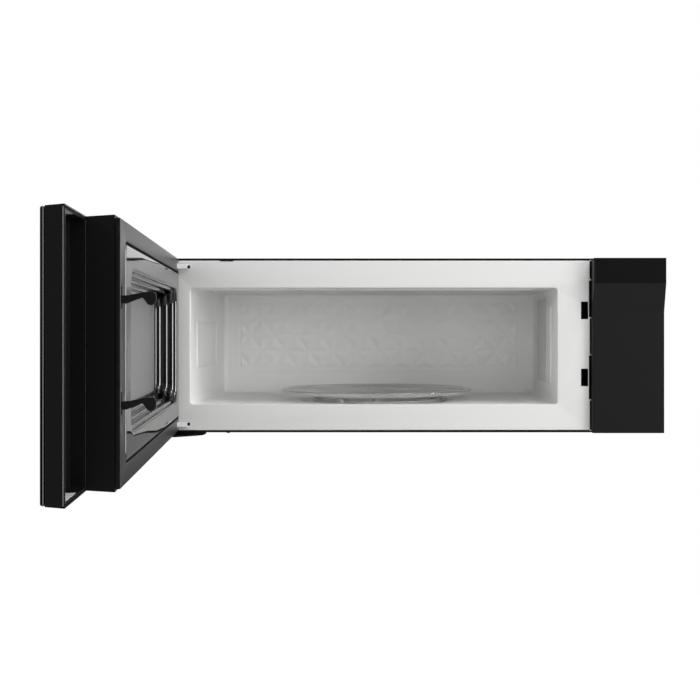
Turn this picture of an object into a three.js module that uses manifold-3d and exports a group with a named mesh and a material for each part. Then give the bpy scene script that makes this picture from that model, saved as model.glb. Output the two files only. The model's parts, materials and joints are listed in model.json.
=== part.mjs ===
// An over-the-range microwave oven, low profile, standing with its door open.
// Millimetres. +X is the user's right, +Y points at the wall and +Z is up.
// The origin is the middle of the rear panel's outer face.

import * as THREE from 'three';
import { mergeVertices } from 'three/addons/utils/BufferGeometryUtils.js';
import Module from 'manifold-3d';

const wasm = await Module();
wasm.setup();

// ---------------------------------------------------------------- driving dimensions

// Case
const CASE_W = 759; // over the side panels, for a 30 inch bay
const CASE_H = 266;
const CASE_D = 410; // wall to front plate
const SHEET = 1.0; // case sheet
const HEM = 2.3; // folded front edge of the case
const HEM_DEPTH = 9;
const CASE_CORNER_R = 3;
const FIT = 0.3; // gap between pieces that seat on each other

// Oven cavity, set by the spaces left round it
const LEFT_CHANNEL = 36.7;
const BAY_W = 159.8; // machine bay on the right
const TOP_PLENUM = 44.7;
const BOTTOM_PLENUM = 42.6;
const REAR_BAY = 80;
const LINER = 1.0;
const CAVITY_R = 4;
const LINER_FLANGE = 8;

// Front plate
const PLATE = 1.2;
const PLATE_RETURN = 8; // depth of its folded edge
const LATCH_HOLE_W = 10;
const LATCH_HOLE_H = 26.8;
const LATCH_HOLE_RISE = 0.7; // hole centre above the hook's centre
const JOINT_SLOT_W = 2.3; // dark slots along the column's joint
const JOINT_SLOT_DROPS = [[90, 33.6], [215.5, 148.3]]; // their ends below the case's top

// Control column
const COLUMN_W = 108.8;
const COLUMN_WALL = 2.5;
const COLUMN_STANDOUT = 28; // brow, above the finger room
const COLUMN_RECESS = 14; // lower face
const BROW_H = 38.7; // sloping face's edges below the case's top
const SLOPE_DROP = 81.6;
const COLUMN_TOP_GAP = 0.8;
const COLUMN_CHAMFER = 2;

// Cavity details
const SINK_DEPTH = 2; // sunk floor panel
const SINK_R = 60;
const SINK_MARGIN_X = 40;
const SINK_MARGIN_Y = 14;
const TRACK_INSET = 35; // roller well's edge inside the tray's rim
const TRACK_DROP = 7.7; // below the cavity floor
const FIELD_MARGIN_X = 31; // embossed field, from the side walls
const FIELD_MARGIN_TOP = 15;
const FIELD_MARGIN_BOTTOM = 42.8;
const FIELD_PITCH = 42.5; // side of its triangles
const FIELD_ROWS = 4;
const FACET_RISE = 2.2;
const PANEL_BORDER = 8; // raised panel round the field
const PANEL_RISE = 1.2;
const EMBOSS_RISE = 1.2;
const EMBOSS_W = 4;
const LEFT_EMBOSS = { depth: [56, 239], height: [-37, 37] };
const RIGHT_RIB = { depth: 82, height: [-60, 60] };
const MICA = { above: 27.4, below: 12.3, thickness: 0.8, border: 12 }; // from the cavity's floor and top
const VENT_HOLE_R = 1.7;
const VENT_PITCH = 14;
const VENT_DROP = 5; // first row below the ceiling
const VENT_COUNT = 8;
const VENT_MIDDLE = 220; // middle of the left vents, behind the front plate
const LAMP_VENT_COUNT = 4;
const VENT_SIDES = 4;
const BOSS_R = 5;
const BOSS_RISE = 5;

// Turntable
const TRAY_GAP = 6; // rim to the cavity's rear wall
const TRAY_RIM = 17; // rim above the cavity floor
const TRAY_BASE = 4.8; // underside above the cavity floor
const TRAY_GLASS = 4;
const ROLLER_R = 6;
const ROLLER_W = 8;
const ROLLER_INSET = 12; // rollers inside the well's edge
const ROLLER_COUNT = 3;
const AXLE_R = 1.4;
const RING_SECTION = 5;
const SHAFT_R = 3.5;
const COUPLER_R = 19;
const COUPLER_BORE_CLEARANCE = 0.35;

// Door. u runs from the hinge axis along the closed door, v towards the front plate.
const DOOR_OPEN_DEG = 83.6;
const DOOR_RISE = 0.9; // middle of the door above the middle of the case
const HINGE_INSET = 11; // axis from the case's left side
const HINGE_FRONT = 12; // axis in front of the plate
const DOOR_FRAME_DEPTH = 16.9;
const DOOR_REAR_GAP = 21.4; // frame's rear edge in front of the axis
const DOOR_FLANGE = 3;
const DOOR_SKIN = 2;
const DOOR_EDGE_GAP = 1.25; // its top and bottom inside the case's
const DOOR_TAPER = 1.75;
const DOOR_GLASS = 4;
const GLASS_INSET = 0.6;
const BOX_LEFT = -3;
const BOX_COLUMN_GAP = 1.2; // box to the control column with the door shut
const BOX_EDGE_GAP = 1.5;
const BOX_SHEET = 1.5;
const BOX_FLARE = 2; // widening of its top and bottom towards the rear
const BOX_REAR = 5.2;
const COVER_DEPTH = 5.1;
const COVER_CHAMFER = 0.8;
const COVER_INSET = 3.2; // from the box's hinge end
const COVER_END_INSET = 0.3;
const COVER_EDGE_INSET = 1; // from the box's top and bottom
const FACE_LEFT = 4; // glossy inner face, from the hinge axis
const FACE_END_MARGIN = 49; // from the box's free end
const FACE_EDGE_MARGIN = 26; // from the case's top and bottom, as are these
const STEP_LEFT = 33;
const STEP_END_MARGIN = 78;
const STEP_EDGE_MARGIN = 48;
const STEP_DEPTHS = [4.6, 8.2, 9.5, 5.5];
const STEP_TREAD = 4.5;
const STEP_R = 16;
const PAN_WALL = 1.6;
const PANEL_DROP = 1; // panel below the cover ring
const SCREEN = 2;
const TOUCH_W = 84;
const TOUCH_EDGE_MARGIN = 38;
const TOUCH_FILM = 0.8;

// Hinges
const PIN_R = 2.5;
const PIN_LENGTH = 11;
const PIN_CLEARANCE = 0.4;
const HINGE_H = 7;
const HINGE_W = 28.5;
const HINGE_BAR = 5.7;
const KNUCKLE_R = 5.5;
const HINGE_DROP = 12.5; // hinges from the case's top and bottom
const HINGE_NOTCH = 1.2; // room round a hinge in the door
const SUPPORT_W = 46;
const SUPPORT_T = 5.2;
const SUPPORT_INSET = 9; // from the case's left side
const SUPPORT_TOE = 22; // in front of the plate
const SUPPORT_REAR = 40;
const SUPPORT_LIP = 2.2; // thickness of the toe

// Latch
const HOOK_Z = 51.3; // hooks above and below their middle
const HOOK_RISE = 1.5; // that middle above the middle of the case
const HOOK_INSET = 8.2; // hook from the box's free end
const HOOK_T = 5;
const HOOK_REACH = 33;
const SLOT_W = 8.4;
const SLOT_ABOVE = 13.2;
const SLOT_BELOW = 8.8;
const BAR_W = 9;
const BAR_T = 3;
const BAR_PAST_HOOK = 14;
const SPRING_R = 4;
const SPRING_WIRE = 0.9;
const SPRING_TURNS = 5;
const SPRING_LENGTH = 26;
const LATCH_WALL = 3;
const LATCH_BELOW = 26; // latch body past the lower and the upper hook
const LATCH_ABOVE = 30;
const SWITCH_W = 10;
const SWITCH_D = 16;
const SWITCH_H = 22;
const PLUNGER = 2.4;
const PLUNGER_STROKE = 1.5;
const PLUNGER_GAP = 0.5; // hook tip to plunger with the door shut

// Machine bay
const GUIDE_FRONT = 298; // its front end from the wall
const GUIDE_W = 40; // waveguide
const GUIDE_L = 150;
const GUIDE_H = 80;
const GUIDE_DROP = 33.3; // its top below the cavity's top
const GUIDE_SHEET = 1.2;
const GUIDE_FLANGE = 7;
const PORT_START = 49; // port behind the waveguide's front end
const PORT_L = 90;
const PORT_MARGIN = 8; // below and above the port
const LAMP_HOLDER_START = 120; // lamp behind the waveguide's front end
const LAMP_HOLDER = { w: 26, d: 44, wall: 2, socketR: 9, socketL: 25, rise: 9 };
const MAGNETRON_W = 58;
const MAGNETRON_L = 84;
const MAGNETRON_H = 88;
const ANTENNA_R = 7;
const ANODE_R = 19;
const YOKE = 2;
const COOLING_FINS = 5;
const FILTER_BOX = { w: 24, l: 52, h: 60 }; // round the magnetron's leads
const CORE = { w: 92, d: 72, h: 76, limb: 26, window: 15 };
const CORE_FOOT = 9; // its base plate past each end
const CAN = { w: 52, d: 33, h: 92 };
const CAN_FAN_GAP = 3;
const DIODE = { w: 10, r: 4, z: 10 };
const BAY_SIDE_ROOM = 12; // case to transformer and capacitor
const BAY_REAR_ROOM = 4;
const FAN_R = 41;
const FAN_BLADES = 6;
const FAN_DEPTH = 22;
const FAN_CLEARANCE = 2.2;
const FAN_HUB_R = 12;
const FAN_SHAFT_R = 2.5;
const FAN_OFFSET = 8; // its axis right of the magnetron's middle
const FAN_PITCH_DEG = [48, 26]; // at the hub and at the tip
const FAN_CHORD = [12, 30];
const FAN_MOTOR = { w: 48, d: 20, z: 4 };
const SEAT = 5; // depth of the motor's seat
const BAFFLE = 1.4;
const BOARD = 1.6;
const BOARD_EDGE_MARGIN = 38;
const BOARD_MARGIN = 8;
const BOARD_STANDOFF = 8;
const POST_R = 3;
const RELAY = { count: 4, pitch: 26, z: 30, w: 20, d: 16, h: 18 };
const SUPPLY = { w: 38, d: 24, h: 40, z: -50 };

// Blower
const WHEEL_R = 30;
const WHEEL_L = 80;
const WHEEL_BLADES = 12;
const BLADE_CHORD = 8;
const SCROLL_CLEARANCE = 2;
const SCROLL_GROWTH = 3.5;
const SCROLL_SHEET = 1.2;
const SCROLL_LIP = 5; // inlet's edge inside the wheel's rim
const BLOWER_DROP = 95; // shaft below the case's top
const VENT_MOTOR_R = 28;
const VENT_MOTOR_L = 52;
const VENT_MOTOR_SHOULDER = 6;
const VENT_SHAFT_R = 3;
const VENT_SHAFT_L = 40; // out of each end of the motor
const SCROLL_MOTOR_GAP = 6;
const WHEEL_END_GAP = 4;
const WHEEL_WEB = 26; // web from the wheel's outer end
const WHEEL_HUB = { r: 8, l: 12 };
const CRADLE = { d: 28, t: 5 };

// Exhaust collar, 3 1/4 by 10 inches
const DUCT_W = 254;
const DUCT_D = 83;
const DUCT_RISE = 14;
const DUCT_SHEET = 1.0;
const DUCT_WALL_GAP = 3; // collar from the wall
const DUCT_FLANGE = 10;
const FLAP = 1.2;
const FLAP_GAP = 1;
const FLAP_PIN_R = 1.5;
const FLAP_STOP_W = 80;
const FLAP_RISE = 4; // flap above the case's top

// Base
const FILTER_SIDE = 14.25; // filter edge from the cavity's side
const FILTER_D = 140;
const FILTER_T = 7;
const FILTER_GAP = 0.8;
const FILTER_MOTOR_GAP = 47; // filter edge from the turntable axis
const FILTER_REAR = 92; // hinge edge from the wall
const LAMP_W = 100;
const LAMP_D = 50;
const LAMP_FRONT = 58; // lamp cover behind the front plate
const LENS = 2.4;

// Top
const LOUVRE_ROWS = 2;
const LOUVRE_COUNT = 9;
const LOUVRE_L = 30;
const LOUVRE_W = 4;
const LOUVRE_PITCH_X = 42;
const LOUVRE_PITCH_Y = 18;
const LOUVRE_FRONT = 30;
const CHARCOAL_W = 300;
const CHARCOAL_D = 70;
const CHARCOAL_T = 10;
const RAIL = 1.2;
const CORD_R = 4.5;
const INLET_R = 11;
const INLET_SIDE = 50; // from the case's right side
const INLET_REAR = 45;
const CABINET_BOLT_R = 3.5;
const CABINET_BOLT_INSET = 90;

// Rear
const REAR_SHEET = 1.2;
const HOOK_SLOT_W = 26;
const HOOK_SLOT_H = 9;
const HOOK_SLOT_X = 250;
const HOOK_SLOT_RISE = 30;

// ---------------------------------------------------------------- places worked out from them

const LEFT = -CASE_W / 2;
const RIGHT = CASE_W / 2;
const TOP = CASE_H / 2;
const BOTTOM = -CASE_H / 2;
const FRONT = -CASE_D;

const CAV_LEFT = LEFT + LEFT_CHANNEL;
const CAV_RIGHT = RIGHT - BAY_W;
const CAV_TOP = TOP - TOP_PLENUM;
const CAV_FLOOR = BOTTOM + BOTTOM_PLENUM;
const CAV_BACK = -REAR_BAY;
const PLATE_BACK = FRONT + PLATE;
const LINER_FRONT = PLATE_BACK + FIT;

const TRAY_X = (CAV_LEFT + CAV_RIGHT) / 2;
const TRAY_Y = (FRONT + CAV_BACK) / 2;
const TRAY_R = (CAV_BACK - FRONT) / 2 - TRAY_GAP;
const TRACK_R = TRAY_R - TRACK_INSET;
const ROLLER_TRACK_R = TRACK_R - ROLLER_INSET;
const TRACK_Z = CAV_FLOOR - TRACK_DROP;
const TRAY_UNDERSIDE = CAV_FLOOR + TRAY_BASE;
const ROLLER_Z = TRACK_Z + FIT + ROLLER_R;

const AXIS_X = LEFT + HINGE_INSET;
const AXIS_Y = FRONT - HINGE_FRONT;
const COLUMN_LEFT = RIGHT - COLUMN_W;
const BROW_BOTTOM = TOP - BROW_H;
const SLOPE_BOTTOM = TOP - SLOPE_DROP;
const JOINT_SLOTS = JOINT_SLOT_DROPS.map((ends) => ends.map((drop) => TOP - drop));
const DOOR_H = CASE_H - 2 * DOOR_EDGE_GAP;
const BOX_H = CASE_H - 2 * BOX_EDGE_GAP;
const FACE_H = CASE_H - 2 * FACE_EDGE_MARGIN;
const STEP_H = CASE_H - 2 * STEP_EDGE_MARGIN;
const STEP_COUNT = STEP_DEPTHS.length;
const TOUCH_H = CASE_H - 2 * TOUCH_EDGE_MARGIN;
const BOARD_H = CASE_H - 2 * BOARD_EDGE_MARGIN;
const HINGE_UPPER_Z = TOP - HINGE_DROP;
const HINGE_LOWER_Z = BOTTOM + HINGE_DROP;
const FRAME_REAR = -DOOR_REAR_GAP;
const FRAME_FRONT = FRAME_REAR - DOOR_FRAME_DEPTH;
const FRAME_RIGHT = RIGHT - AXIS_X;
const FRAME_LEFT = -HINGE_INSET;
const BOX_RIGHT = COLUMN_LEFT - AXIS_X - BOX_COLUMN_GAP;
const COVER_REAR = BOX_REAR + FIT + COVER_DEPTH;
const FACE_RIGHT = BOX_RIGHT - FACE_END_MARGIN;
const STEP_RIGHT = BOX_RIGHT - STEP_END_MARGIN;
const HOOK_U = BOX_RIGHT - HOOK_INSET;
const HOOK_X = AXIS_X + HOOK_U;
const HOOK_TIP_Y = AXIS_Y + COVER_REAR + HOOK_REACH;
const HOOKS = [HOOK_RISE + HOOK_Z, HOOK_RISE - HOOK_Z];
const DOOR_HOOKS = HOOKS.map((z) => z - DOOR_RISE);
const DOOR_HINGES = [HINGE_UPPER_Z, HINGE_LOWER_Z].map((z) => z - DOOR_RISE);

const BAY_LEFT = CAV_RIGHT + LINER + FIT;
const BAY_RIGHT = RIGHT - SHEET - FIT;
const BAY_FLOOR = BOTTOM + REAR_SHEET + FIT;
const GUIDE_BOTTOM = CAV_TOP - GUIDE_DROP - GUIDE_H;
const FILTER_W = (CAV_RIGHT - CAV_LEFT) / 2 - FILTER_MOTOR_GAP - FILTER_SIDE;
const BLOWER_Z = TOP - BLOWER_DROP;
const DUCT_Y = -(DUCT_WALL_GAP + DUCT_D / 2);

// ---------------------------------------------------------------- finishes

const finish = (color, roughness, metalness = 0) =>
  new THREE.MeshStandardMaterial({ color, roughness, metalness, flatShading: true });

const blackPaint = finish('#141415', 0.45);
const blackPlastic = finish('#19191a', 0.5);
const glossBlack = finish('#0c0c0d', 0.12);
const whiteEnamel = finish('#e6e6e4', 0.35);
const greyEnamel = finish('#bdbdba', 0.4);
const galvanised = finish('#a9adb0', 0.4, 0.9);
const brightSteel = finish('#c9cbcd', 0.15, 1);
const aluminium = finish('#b7b9bb', 0.35, 1);
const copper = finish('#a5602c', 0.35, 1);
const mica = finish('#8d8a80', 0.6);
const glass = finish('#cfd6d3', 0.05);
const whitePlastic = finish('#e0dfda', 0.5);
const greyPlastic = finish('#6d6f70', 0.55);
const boardGreen = finish('#2f5d3a', 0.6);
const carbon = finish('#242424', 0.9);
const lampGlass = finish('#f3efdf', 0.2);

// ---------------------------------------------------------------- working tools

// Six times the volume inside a triangle mesh; negative when its faces point inwards.
function signedVolume(points, triangles) {
  const a = new THREE.Vector3();
  const b = new THREE.Vector3();
  const c = new THREE.Vector3();
  let sum = 0;
  for (let i = 0; i < triangles.length; i += 3) {
    a.fromArray(points, 3 * triangles[i]);
    b.fromArray(points, 3 * triangles[i + 1]);
    c.fromArray(points, 3 * triangles[i + 2]);
    sum += a.dot(b.cross(c));
  }
  return sum;
}

// A closed geometry as a solid. Equal corners are merged, triangles that
// collapse at a pole are dropped, and an inside-out profile is turned round.
function solidOf(geometry) {
  const bare = geometry.clone();
  bare.deleteAttribute('normal');
  bare.deleteAttribute('uv');
  const merged = mergeVertices(bare, 1e-4);
  const vertProperties = new Float32Array(merged.attributes.position.array);
  const corners = [];
  for (let i = 0; i < merged.index.count; i += 3) {
    const [a, b, c] = merged.index.array.slice(i, i + 3);
    if (a !== b && b !== c && c !== a) corners.push(a, b, c);
  }
  if (signedVolume(vertProperties, corners) < 0) corners.reverse();
  const triVerts = new Uint32Array(corners);
  return new wasm.Manifold(new wasm.Mesh({ numProp: 3, vertProperties, triVerts }));
}

// A named mesh from a solid, ready to be placed.
function piece(name, solid, material, position = [0, 0, 0]) {
  const { vertProperties, triVerts } = solid.getMesh();
  const geometry = new THREE.BufferGeometry();
  geometry.setAttribute('position', new THREE.BufferAttribute(vertProperties, 3));
  geometry.setIndex(new THREE.BufferAttribute(triVerts, 1));
  geometry.computeVertexNormals();
  const mesh = new THREE.Mesh(geometry, material);
  mesh.name = name;
  mesh.position.set(...position);
  return mesh;
}

const joined = (...solids) => solids.reduce((sum, solid) => sum.add(solid));
const cut = (body, ...tools) => tools.reduce((left, tool) => left.subtract(tool), body);

// A block between two corners on each axis.
function block([x0, x1], [y0, y1], [z0, z1]) {
  const box = new THREE.BoxGeometry(x1 - x0, y1 - y0, z1 - z0);
  box.translate((x0 + x1) / 2, (y0 + y1) / 2, (z0 + z1) / 2);
  return solidOf(box);
}

// A flat outline pushed along one axis. It is drawn in (y, z) for x,
// in (x, z) for y and in (x, y) for z.
function prism(outline, axis, from, to, curveSegments = 2) {
  const options = { depth: to - from, bevelEnabled: false, curveSegments };
  const body = new THREE.ExtrudeGeometry(outline, options);
  if (axis === 'x') {
    const turn = new THREE.Matrix4();
    turn.set(0, 0, 1, from, 1, 0, 0, 0, 0, 1, 0, 0, 0, 0, 0, 1);
    body.applyMatrix4(turn);
  }
  if (axis === 'y') body.rotateX(Math.PI / 2).translate(0, to, 0);
  if (axis === 'z') body.translate(0, 0, from);
  return solidOf(body);
}

// A round bar along an axis through (a, b), in the same drawing planes.
function bar(axis, [a, b], r, from, to, sides = 24) {
  const round = new THREE.Shape();
  round.absarc(a, b, r, 0, 2 * Math.PI);
  return prism(round, axis, from, to, sides / 2);
}

// A turned solid: [radius, height] points spun about Z.
function turned(profile, sides = 48) {
  const points = profile.map(([r, h]) => new THREE.Vector2(r, h));
  return solidOf(new THREE.LatheGeometry(points, sides).rotateX(Math.PI / 2));
}

function polygon(points) {
  return new THREE.Shape(points.map(([a, b]) => new THREE.Vector2(a, b)));
}

// A rectangle with round corners.
function roundedRect([a0, a1], [b0, b1], r) {
  const shape = new THREE.Shape();
  if (r <= 0) return polygon([[a0, b0], [a1, b0], [a1, b1], [a0, b1]]);
  shape.absarc(a1 - r, b0 + r, r, -Math.PI / 2, 0);
  shape.absarc(a1 - r, b1 - r, r, 0, Math.PI / 2);
  shape.absarc(a0 + r, b1 - r, r, Math.PI / 2, Math.PI);
  shape.absarc(a0 + r, b0 + r, r, Math.PI, 1.5 * Math.PI);
  return shape;
}

const grown = ([low, high], by) => [low - by, high + by];
const around = (middle, width) => [middle - width / 2, middle + width / 2];

// A closed solid from an open sheet of triangles: the sheet, a copy of it
// shifted by a vector, and a wall along each edge that only one triangle uses.
function thickened(points, triangles, shift) {
  const count = points.length;
  const all = points.concat(points.map((p) => p.map((value, i) => value + shift[i])));
  const faces = triangles.concat(triangles.map(([a, b, c]) => [a + count, c + count, b + count]));
  const used = new Set();
  for (const [a, b, c] of triangles) {
    used.add(`${a},${b}`).add(`${b},${c}`).add(`${c},${a}`);
  }
  for (const edge of used) {
    const [a, b] = edge.split(',').map(Number);
    if (!used.has(`${b},${a}`)) faces.push([b, a, a + count], [b, a + count, b + count]);
  }
  const geometry = new THREE.BufferGeometry();
  geometry.setAttribute('position', new THREE.Float32BufferAttribute(all.flat(), 3));
  geometry.setIndex(faces.flat());
  return solidOf(geometry);
}

// Evenly spaced values, centred on a middle.
function row(count, pitch, middle = 0) {
  return Array.from({ length: count }, (_, i) => middle + (i - (count - 1) / 2) * pitch);
}

// Copies of a solid spaced evenly round Z.
function spun(solid, count) {
  const step = 360 / count;
  return Array.from({ length: count }, (_, i) => solid.rotate([0, 0, i * step]));
}

// ---------------------------------------------------------------- case

// The wrap: top and sides in one folded sheet with a thick folded front edge,
// the discharge louvres, the duct opening and two rails for the charcoal filter.
function outerCase() {
  const across = [LEFT, RIGHT];
  const below = block(grown(across, 5), [FRONT - 5, 5], [BOTTOM - 30, BOTTOM]);
  const inside = (wall) => roundedRect(grown(across, -wall), [BOTTOM - 20, TOP - wall], 1);
  let body = prism(roundedRect(across, [BOTTOM - 20, TOP], CASE_CORNER_R), 'y', FRONT, 0);
  body = cut(body, prism(inside(HEM), 'y', FRONT - 1, FRONT + HEM_DEPTH, 1));
  body = cut(body, prism(inside(SHEET), 'y', FRONT + HEM_DEPTH - 0.01, 1, 1), below);

  const louvre = (x, y) => {
    const slot = polygon([
      [x - LOUVRE_L / 2, y], [x - LOUVRE_L / 2 + LOUVRE_W / 2, y - LOUVRE_W / 2],
      [x + LOUVRE_L / 2 - LOUVRE_W / 2, y - LOUVRE_W / 2], [x + LOUVRE_L / 2, y],
      [x + LOUVRE_L / 2 - LOUVRE_W / 2, y + LOUVRE_W / 2], [x - LOUVRE_L / 2 + LOUVRE_W / 2, y + LOUVRE_W / 2]]);
    return prism(slot, 'z', TOP - SHEET - 1, TOP + 1);
  };
  for (const y of row(LOUVRE_ROWS, LOUVRE_PITCH_Y, FRONT + LOUVRE_FRONT + LOUVRE_PITCH_Y)) {
    for (const x of row(LOUVRE_COUNT, LOUVRE_PITCH_X)) body = body.subtract(louvre(x, y));
  }
  const through = [TOP - SHEET - 1, TOP + 1];
  const duct = block(around(0, DUCT_W + 2 * FIT), around(DUCT_Y, DUCT_D + 2 * FIT), through);
  const inlet = bar('z', [inletX(), inletY()], INLET_R + FIT, ...through, 16);
  const bolts = grown([LEFT, RIGHT], -CABINET_BOLT_INSET).map((x) =>
    bar('z', [x, FRONT / 2], CABINET_BOLT_R, ...through, 12));
  body = cut(body, duct, inlet, ...bolts);

  const rails = [-1, 1].map((side) => charcoalRail(side));
  return piece('outer_case', joined(body, ...rails), blackPaint);
}

// Middle of the charcoal filter, front to back.
const charcoalY = () => FRONT + LOUVRE_FRONT + LOUVRE_PITCH_Y;
const inletX = () => RIGHT - INLET_SIDE;
const inletY = () => -INLET_REAR;

// An L-shaped rail under the top, at one end of the charcoal filter.
function charcoalRail(side) {
  const outer = side * (CHARCOAL_W / 2 + FIT + RAIL);
  const inner = side * (CHARCOAL_W / 2 + FIT);
  const toe = side * (CHARCOAL_W / 2 - 6);
  const low = TOP - SHEET - CHARCOAL_T - 2 * FIT;
  const sorted = (a, b) => [Math.min(a, b), Math.max(a, b)];
  const along = around(charcoalY(), CHARCOAL_D);
  const web = block(sorted(outer, inner), along, [low - RAIL, TOP - SHEET / 2]);
  const foot = block(sorted(outer, toe), along, [low - RAIL, low]);
  return web.add(foot);
}

function charcoalFilter() {
  const low = TOP - SHEET - CHARCOAL_T - FIT;
  const across = around(0, CHARCOAL_W);
  const along = around(charcoalY(), CHARCOAL_D);
  const frame = block(across, along, [low, low + CHARCOAL_T]);
  const cells = 6;
  const windows = row(cells, CHARCOAL_W / cells).map((x) =>
    block(around(x, CHARCOAL_W / cells - 5), grown(along, -6), [low + 3, low + CHARCOAL_T + 1]));
  return piece('charcoal_filter', cut(frame, ...windows), carbon);
}

// The underside: openings for the two grease filters and the cooktop lamp.
function basePlate() {
  const across = [LEFT + SHEET + FIT, RIGHT - SHEET - FIT];
  const deep = [FRONT + FIT, -FIT];
  const plate = block(across, deep, [BOTTOM, BOTTOM + REAR_SHEET]);
  const hem = block(grown(across, -HEM), [FRONT + FIT, FRONT + HEM_DEPTH], [BOTTOM, BOTTOM + HEM - FIT]);
  const corners = [-1, 1].map((side) => block(around(side * RIGHT, 2 * (HEM + FIT)),
    [FRONT - 1, FRONT + HEM_DEPTH + FIT], [BOTTOM - 1, BOTTOM + HEM]));
  const sides = [
    block([across[0], across[0] + REAR_SHEET], [FRONT + 12, -12], [BOTTOM, BOTTOM + 12]),
    block([across[1] - REAR_SHEET, across[1]], [FRONT + 12, -12], [BOTTOM, BOTTOM + 12]),
  ];
  const tools = filterCentres().map((x) => filterOpening(x));
  tools.push(lampOpening(), ...corners);
  return piece('base_plate', cut(joined(plate, hem, ...sides), ...tools), blackPaint);
}

const filterCentres = () => [-1, 1].map((side) => TRAY_X + side * (FILTER_MOTOR_GAP + FILTER_W / 2));
const filterY = () => [-FILTER_REAR - FILTER_D, -FILTER_REAR];
const lampY = () => [FRONT + LAMP_FRONT, FRONT + LAMP_FRONT + LAMP_D];

function filterOpening(x) {
  const across = grown(around(x, FILTER_W), FILTER_GAP);
  return block(across, grown(filterY(), FILTER_GAP), [BOTTOM - 1, BOTTOM + 20]);
}

function lampOpening() {
  const across = grown(around(TRAY_X, LAMP_W), FILTER_GAP);
  return block(across, grown(lampY(), FILTER_GAP), [BOTTOM - 1, BOTTOM + 20]);
}

// A grease filter: an aluminium frame round a pleated mesh pad, with a pull tab.
// It tips down about its rear edge.
function greaseFilter(name, x) {
  const w = FILTER_W / 2;
  const border = 9;
  const outer = roundedRect([-w, w], [-FILTER_D, 0], 5);
  outer.holes.push(roundedRect(grown([-w, w], -border), [-FILTER_D + border, -border], 3));
  const frame = prism(outer, 'z', 0, FILTER_T, 1);
  const pleats = 6;
  const depth = FILTER_D - 2 * border + 2;
  const zigzag = [];
  for (let i = 0; i <= 2 * pleats; i += 1) {
    zigzag.push([-border + 1 - depth * i / (2 * pleats), i % 2 ? FILTER_T - 1.5 : FILTER_T - 4]);
  }
  const underside = zigzag.map(([y, z]) => [y, z - 1.5]).reverse();
  const pad = prism(polygon(zigzag.concat(underside)), 'x', -w + border - 1, w - border + 1);
  const tab = prism(roundedRect([-15, 15], [-FILTER_D + 1, -FILTER_D + border + 12], 3), 'z', 0, 1.2, 1);
  return piece(name, joined(frame, pad, tab), aluminium, [x, filterY()[1], BOTTOM]);
}

// The clear cover over the cooktop lamp, hinged at its rear edge.
function lampCover() {
  const w = LAMP_W / 2;
  const lens = prism(roundedRect([-w, w], [-LAMP_D, 0], 3), 'z', 0, LENS);
  const inside = block(grown([-w, w], -4), [-LAMP_D + 4, -4], [1.2, LENS + 1]);
  const flutes = row(6, LAMP_D / 8, -LAMP_D / 2).map((y) =>
    block(grown([-w, w], -8), around(y, 2), [0.8, 1.9]));
  return piece('lamp_cover', joined(cut(lens, inside), ...flutes), lampGlass, [TRAY_X, lampY()[1], BOTTOM]);
}

// The light board that shines down on the cooktop, over its opening.
function cooktopLamp() {
  const low = BOTTOM + REAR_SHEET + FIT + LENS;
  const across = around(TRAY_X, LAMP_W + 24);
  const middle = (lampY()[0] + lampY()[1]) / 2;
  const board = block(across, around(middle, LAMP_D + 16), [low, low + BOARD]);
  const feet = [-1, 1].map((side) =>
    block(around(TRAY_X + side * (LAMP_W / 2 + 8), 6), around(middle, LAMP_D + 12), [low - LENS, low + 0.1]));
  const lights = row(4, 20, TRAY_X).map((x) =>
    block(around(x, 5), around(middle, 5), [low - 1, low + 0.1]));
  return piece('cooktop_lamp', joined(board, ...feet, ...lights), whitePlastic);
}

// The rear panel: a flat face for the wall, a folded edge, and the two slots
// that drop over the wall plate's hooks.
function rearPanel() {
  const across = [LEFT + SHEET + FIT, RIGHT - SHEET - FIT];
  const high = [BOTTOM + REAR_SHEET + FIT, TOP - SHEET - FIT];
  const face = block(across, [-REAR_SHEET, 0], high);
  const edge = block(across, [-9, 0], high);
  const inside = block(grown(across, -REAR_SHEET), [-10, -REAR_SHEET], grown(high, -REAR_SHEET));
  const slots = [-1, 1].map((side) => {
    const wide = around(side * HOOK_SLOT_X, HOOK_SLOT_W);
    return block(wide, [-4, 1], around(BOTTOM + HOOK_SLOT_RISE, HOOK_SLOT_H));
  });
  const ductRoom = block(around(0, DUCT_W + 2 * DUCT_FLANGE + 2), [-10, -DUCT_WALL_GAP + FIT], [TOP - 10, TOP]);
  return piece('rear_panel', cut(joined(face, edge), inside, ductRoom, ...slots), galvanised);
}

function cordInlet() {
  const low = TOP - SHEET - FIT;
  const profile = [
    [CORD_R, low - 9], [INLET_R - 2, low - 9], [INLET_R, low - 4], [INLET_R + 3, low - 3],
    [INLET_R + 3, low], [INLET_R, low], [INLET_R, TOP + 3], [INLET_R - 3, TOP + 5], [CORD_R, TOP + 5],
    [CORD_R, low - 9],
  ];
  return piece('cord_inlet', turned(profile, 12), blackPlastic, [inletX(), inletY(), 0]);
}

// ---------------------------------------------------------------- oven

const mouth = (by = 0) =>
  roundedRect(grown([CAV_LEFT, CAV_RIGHT], by), grown([CAV_FLOOR, CAV_TOP], by), CAVITY_R + by);

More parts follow.
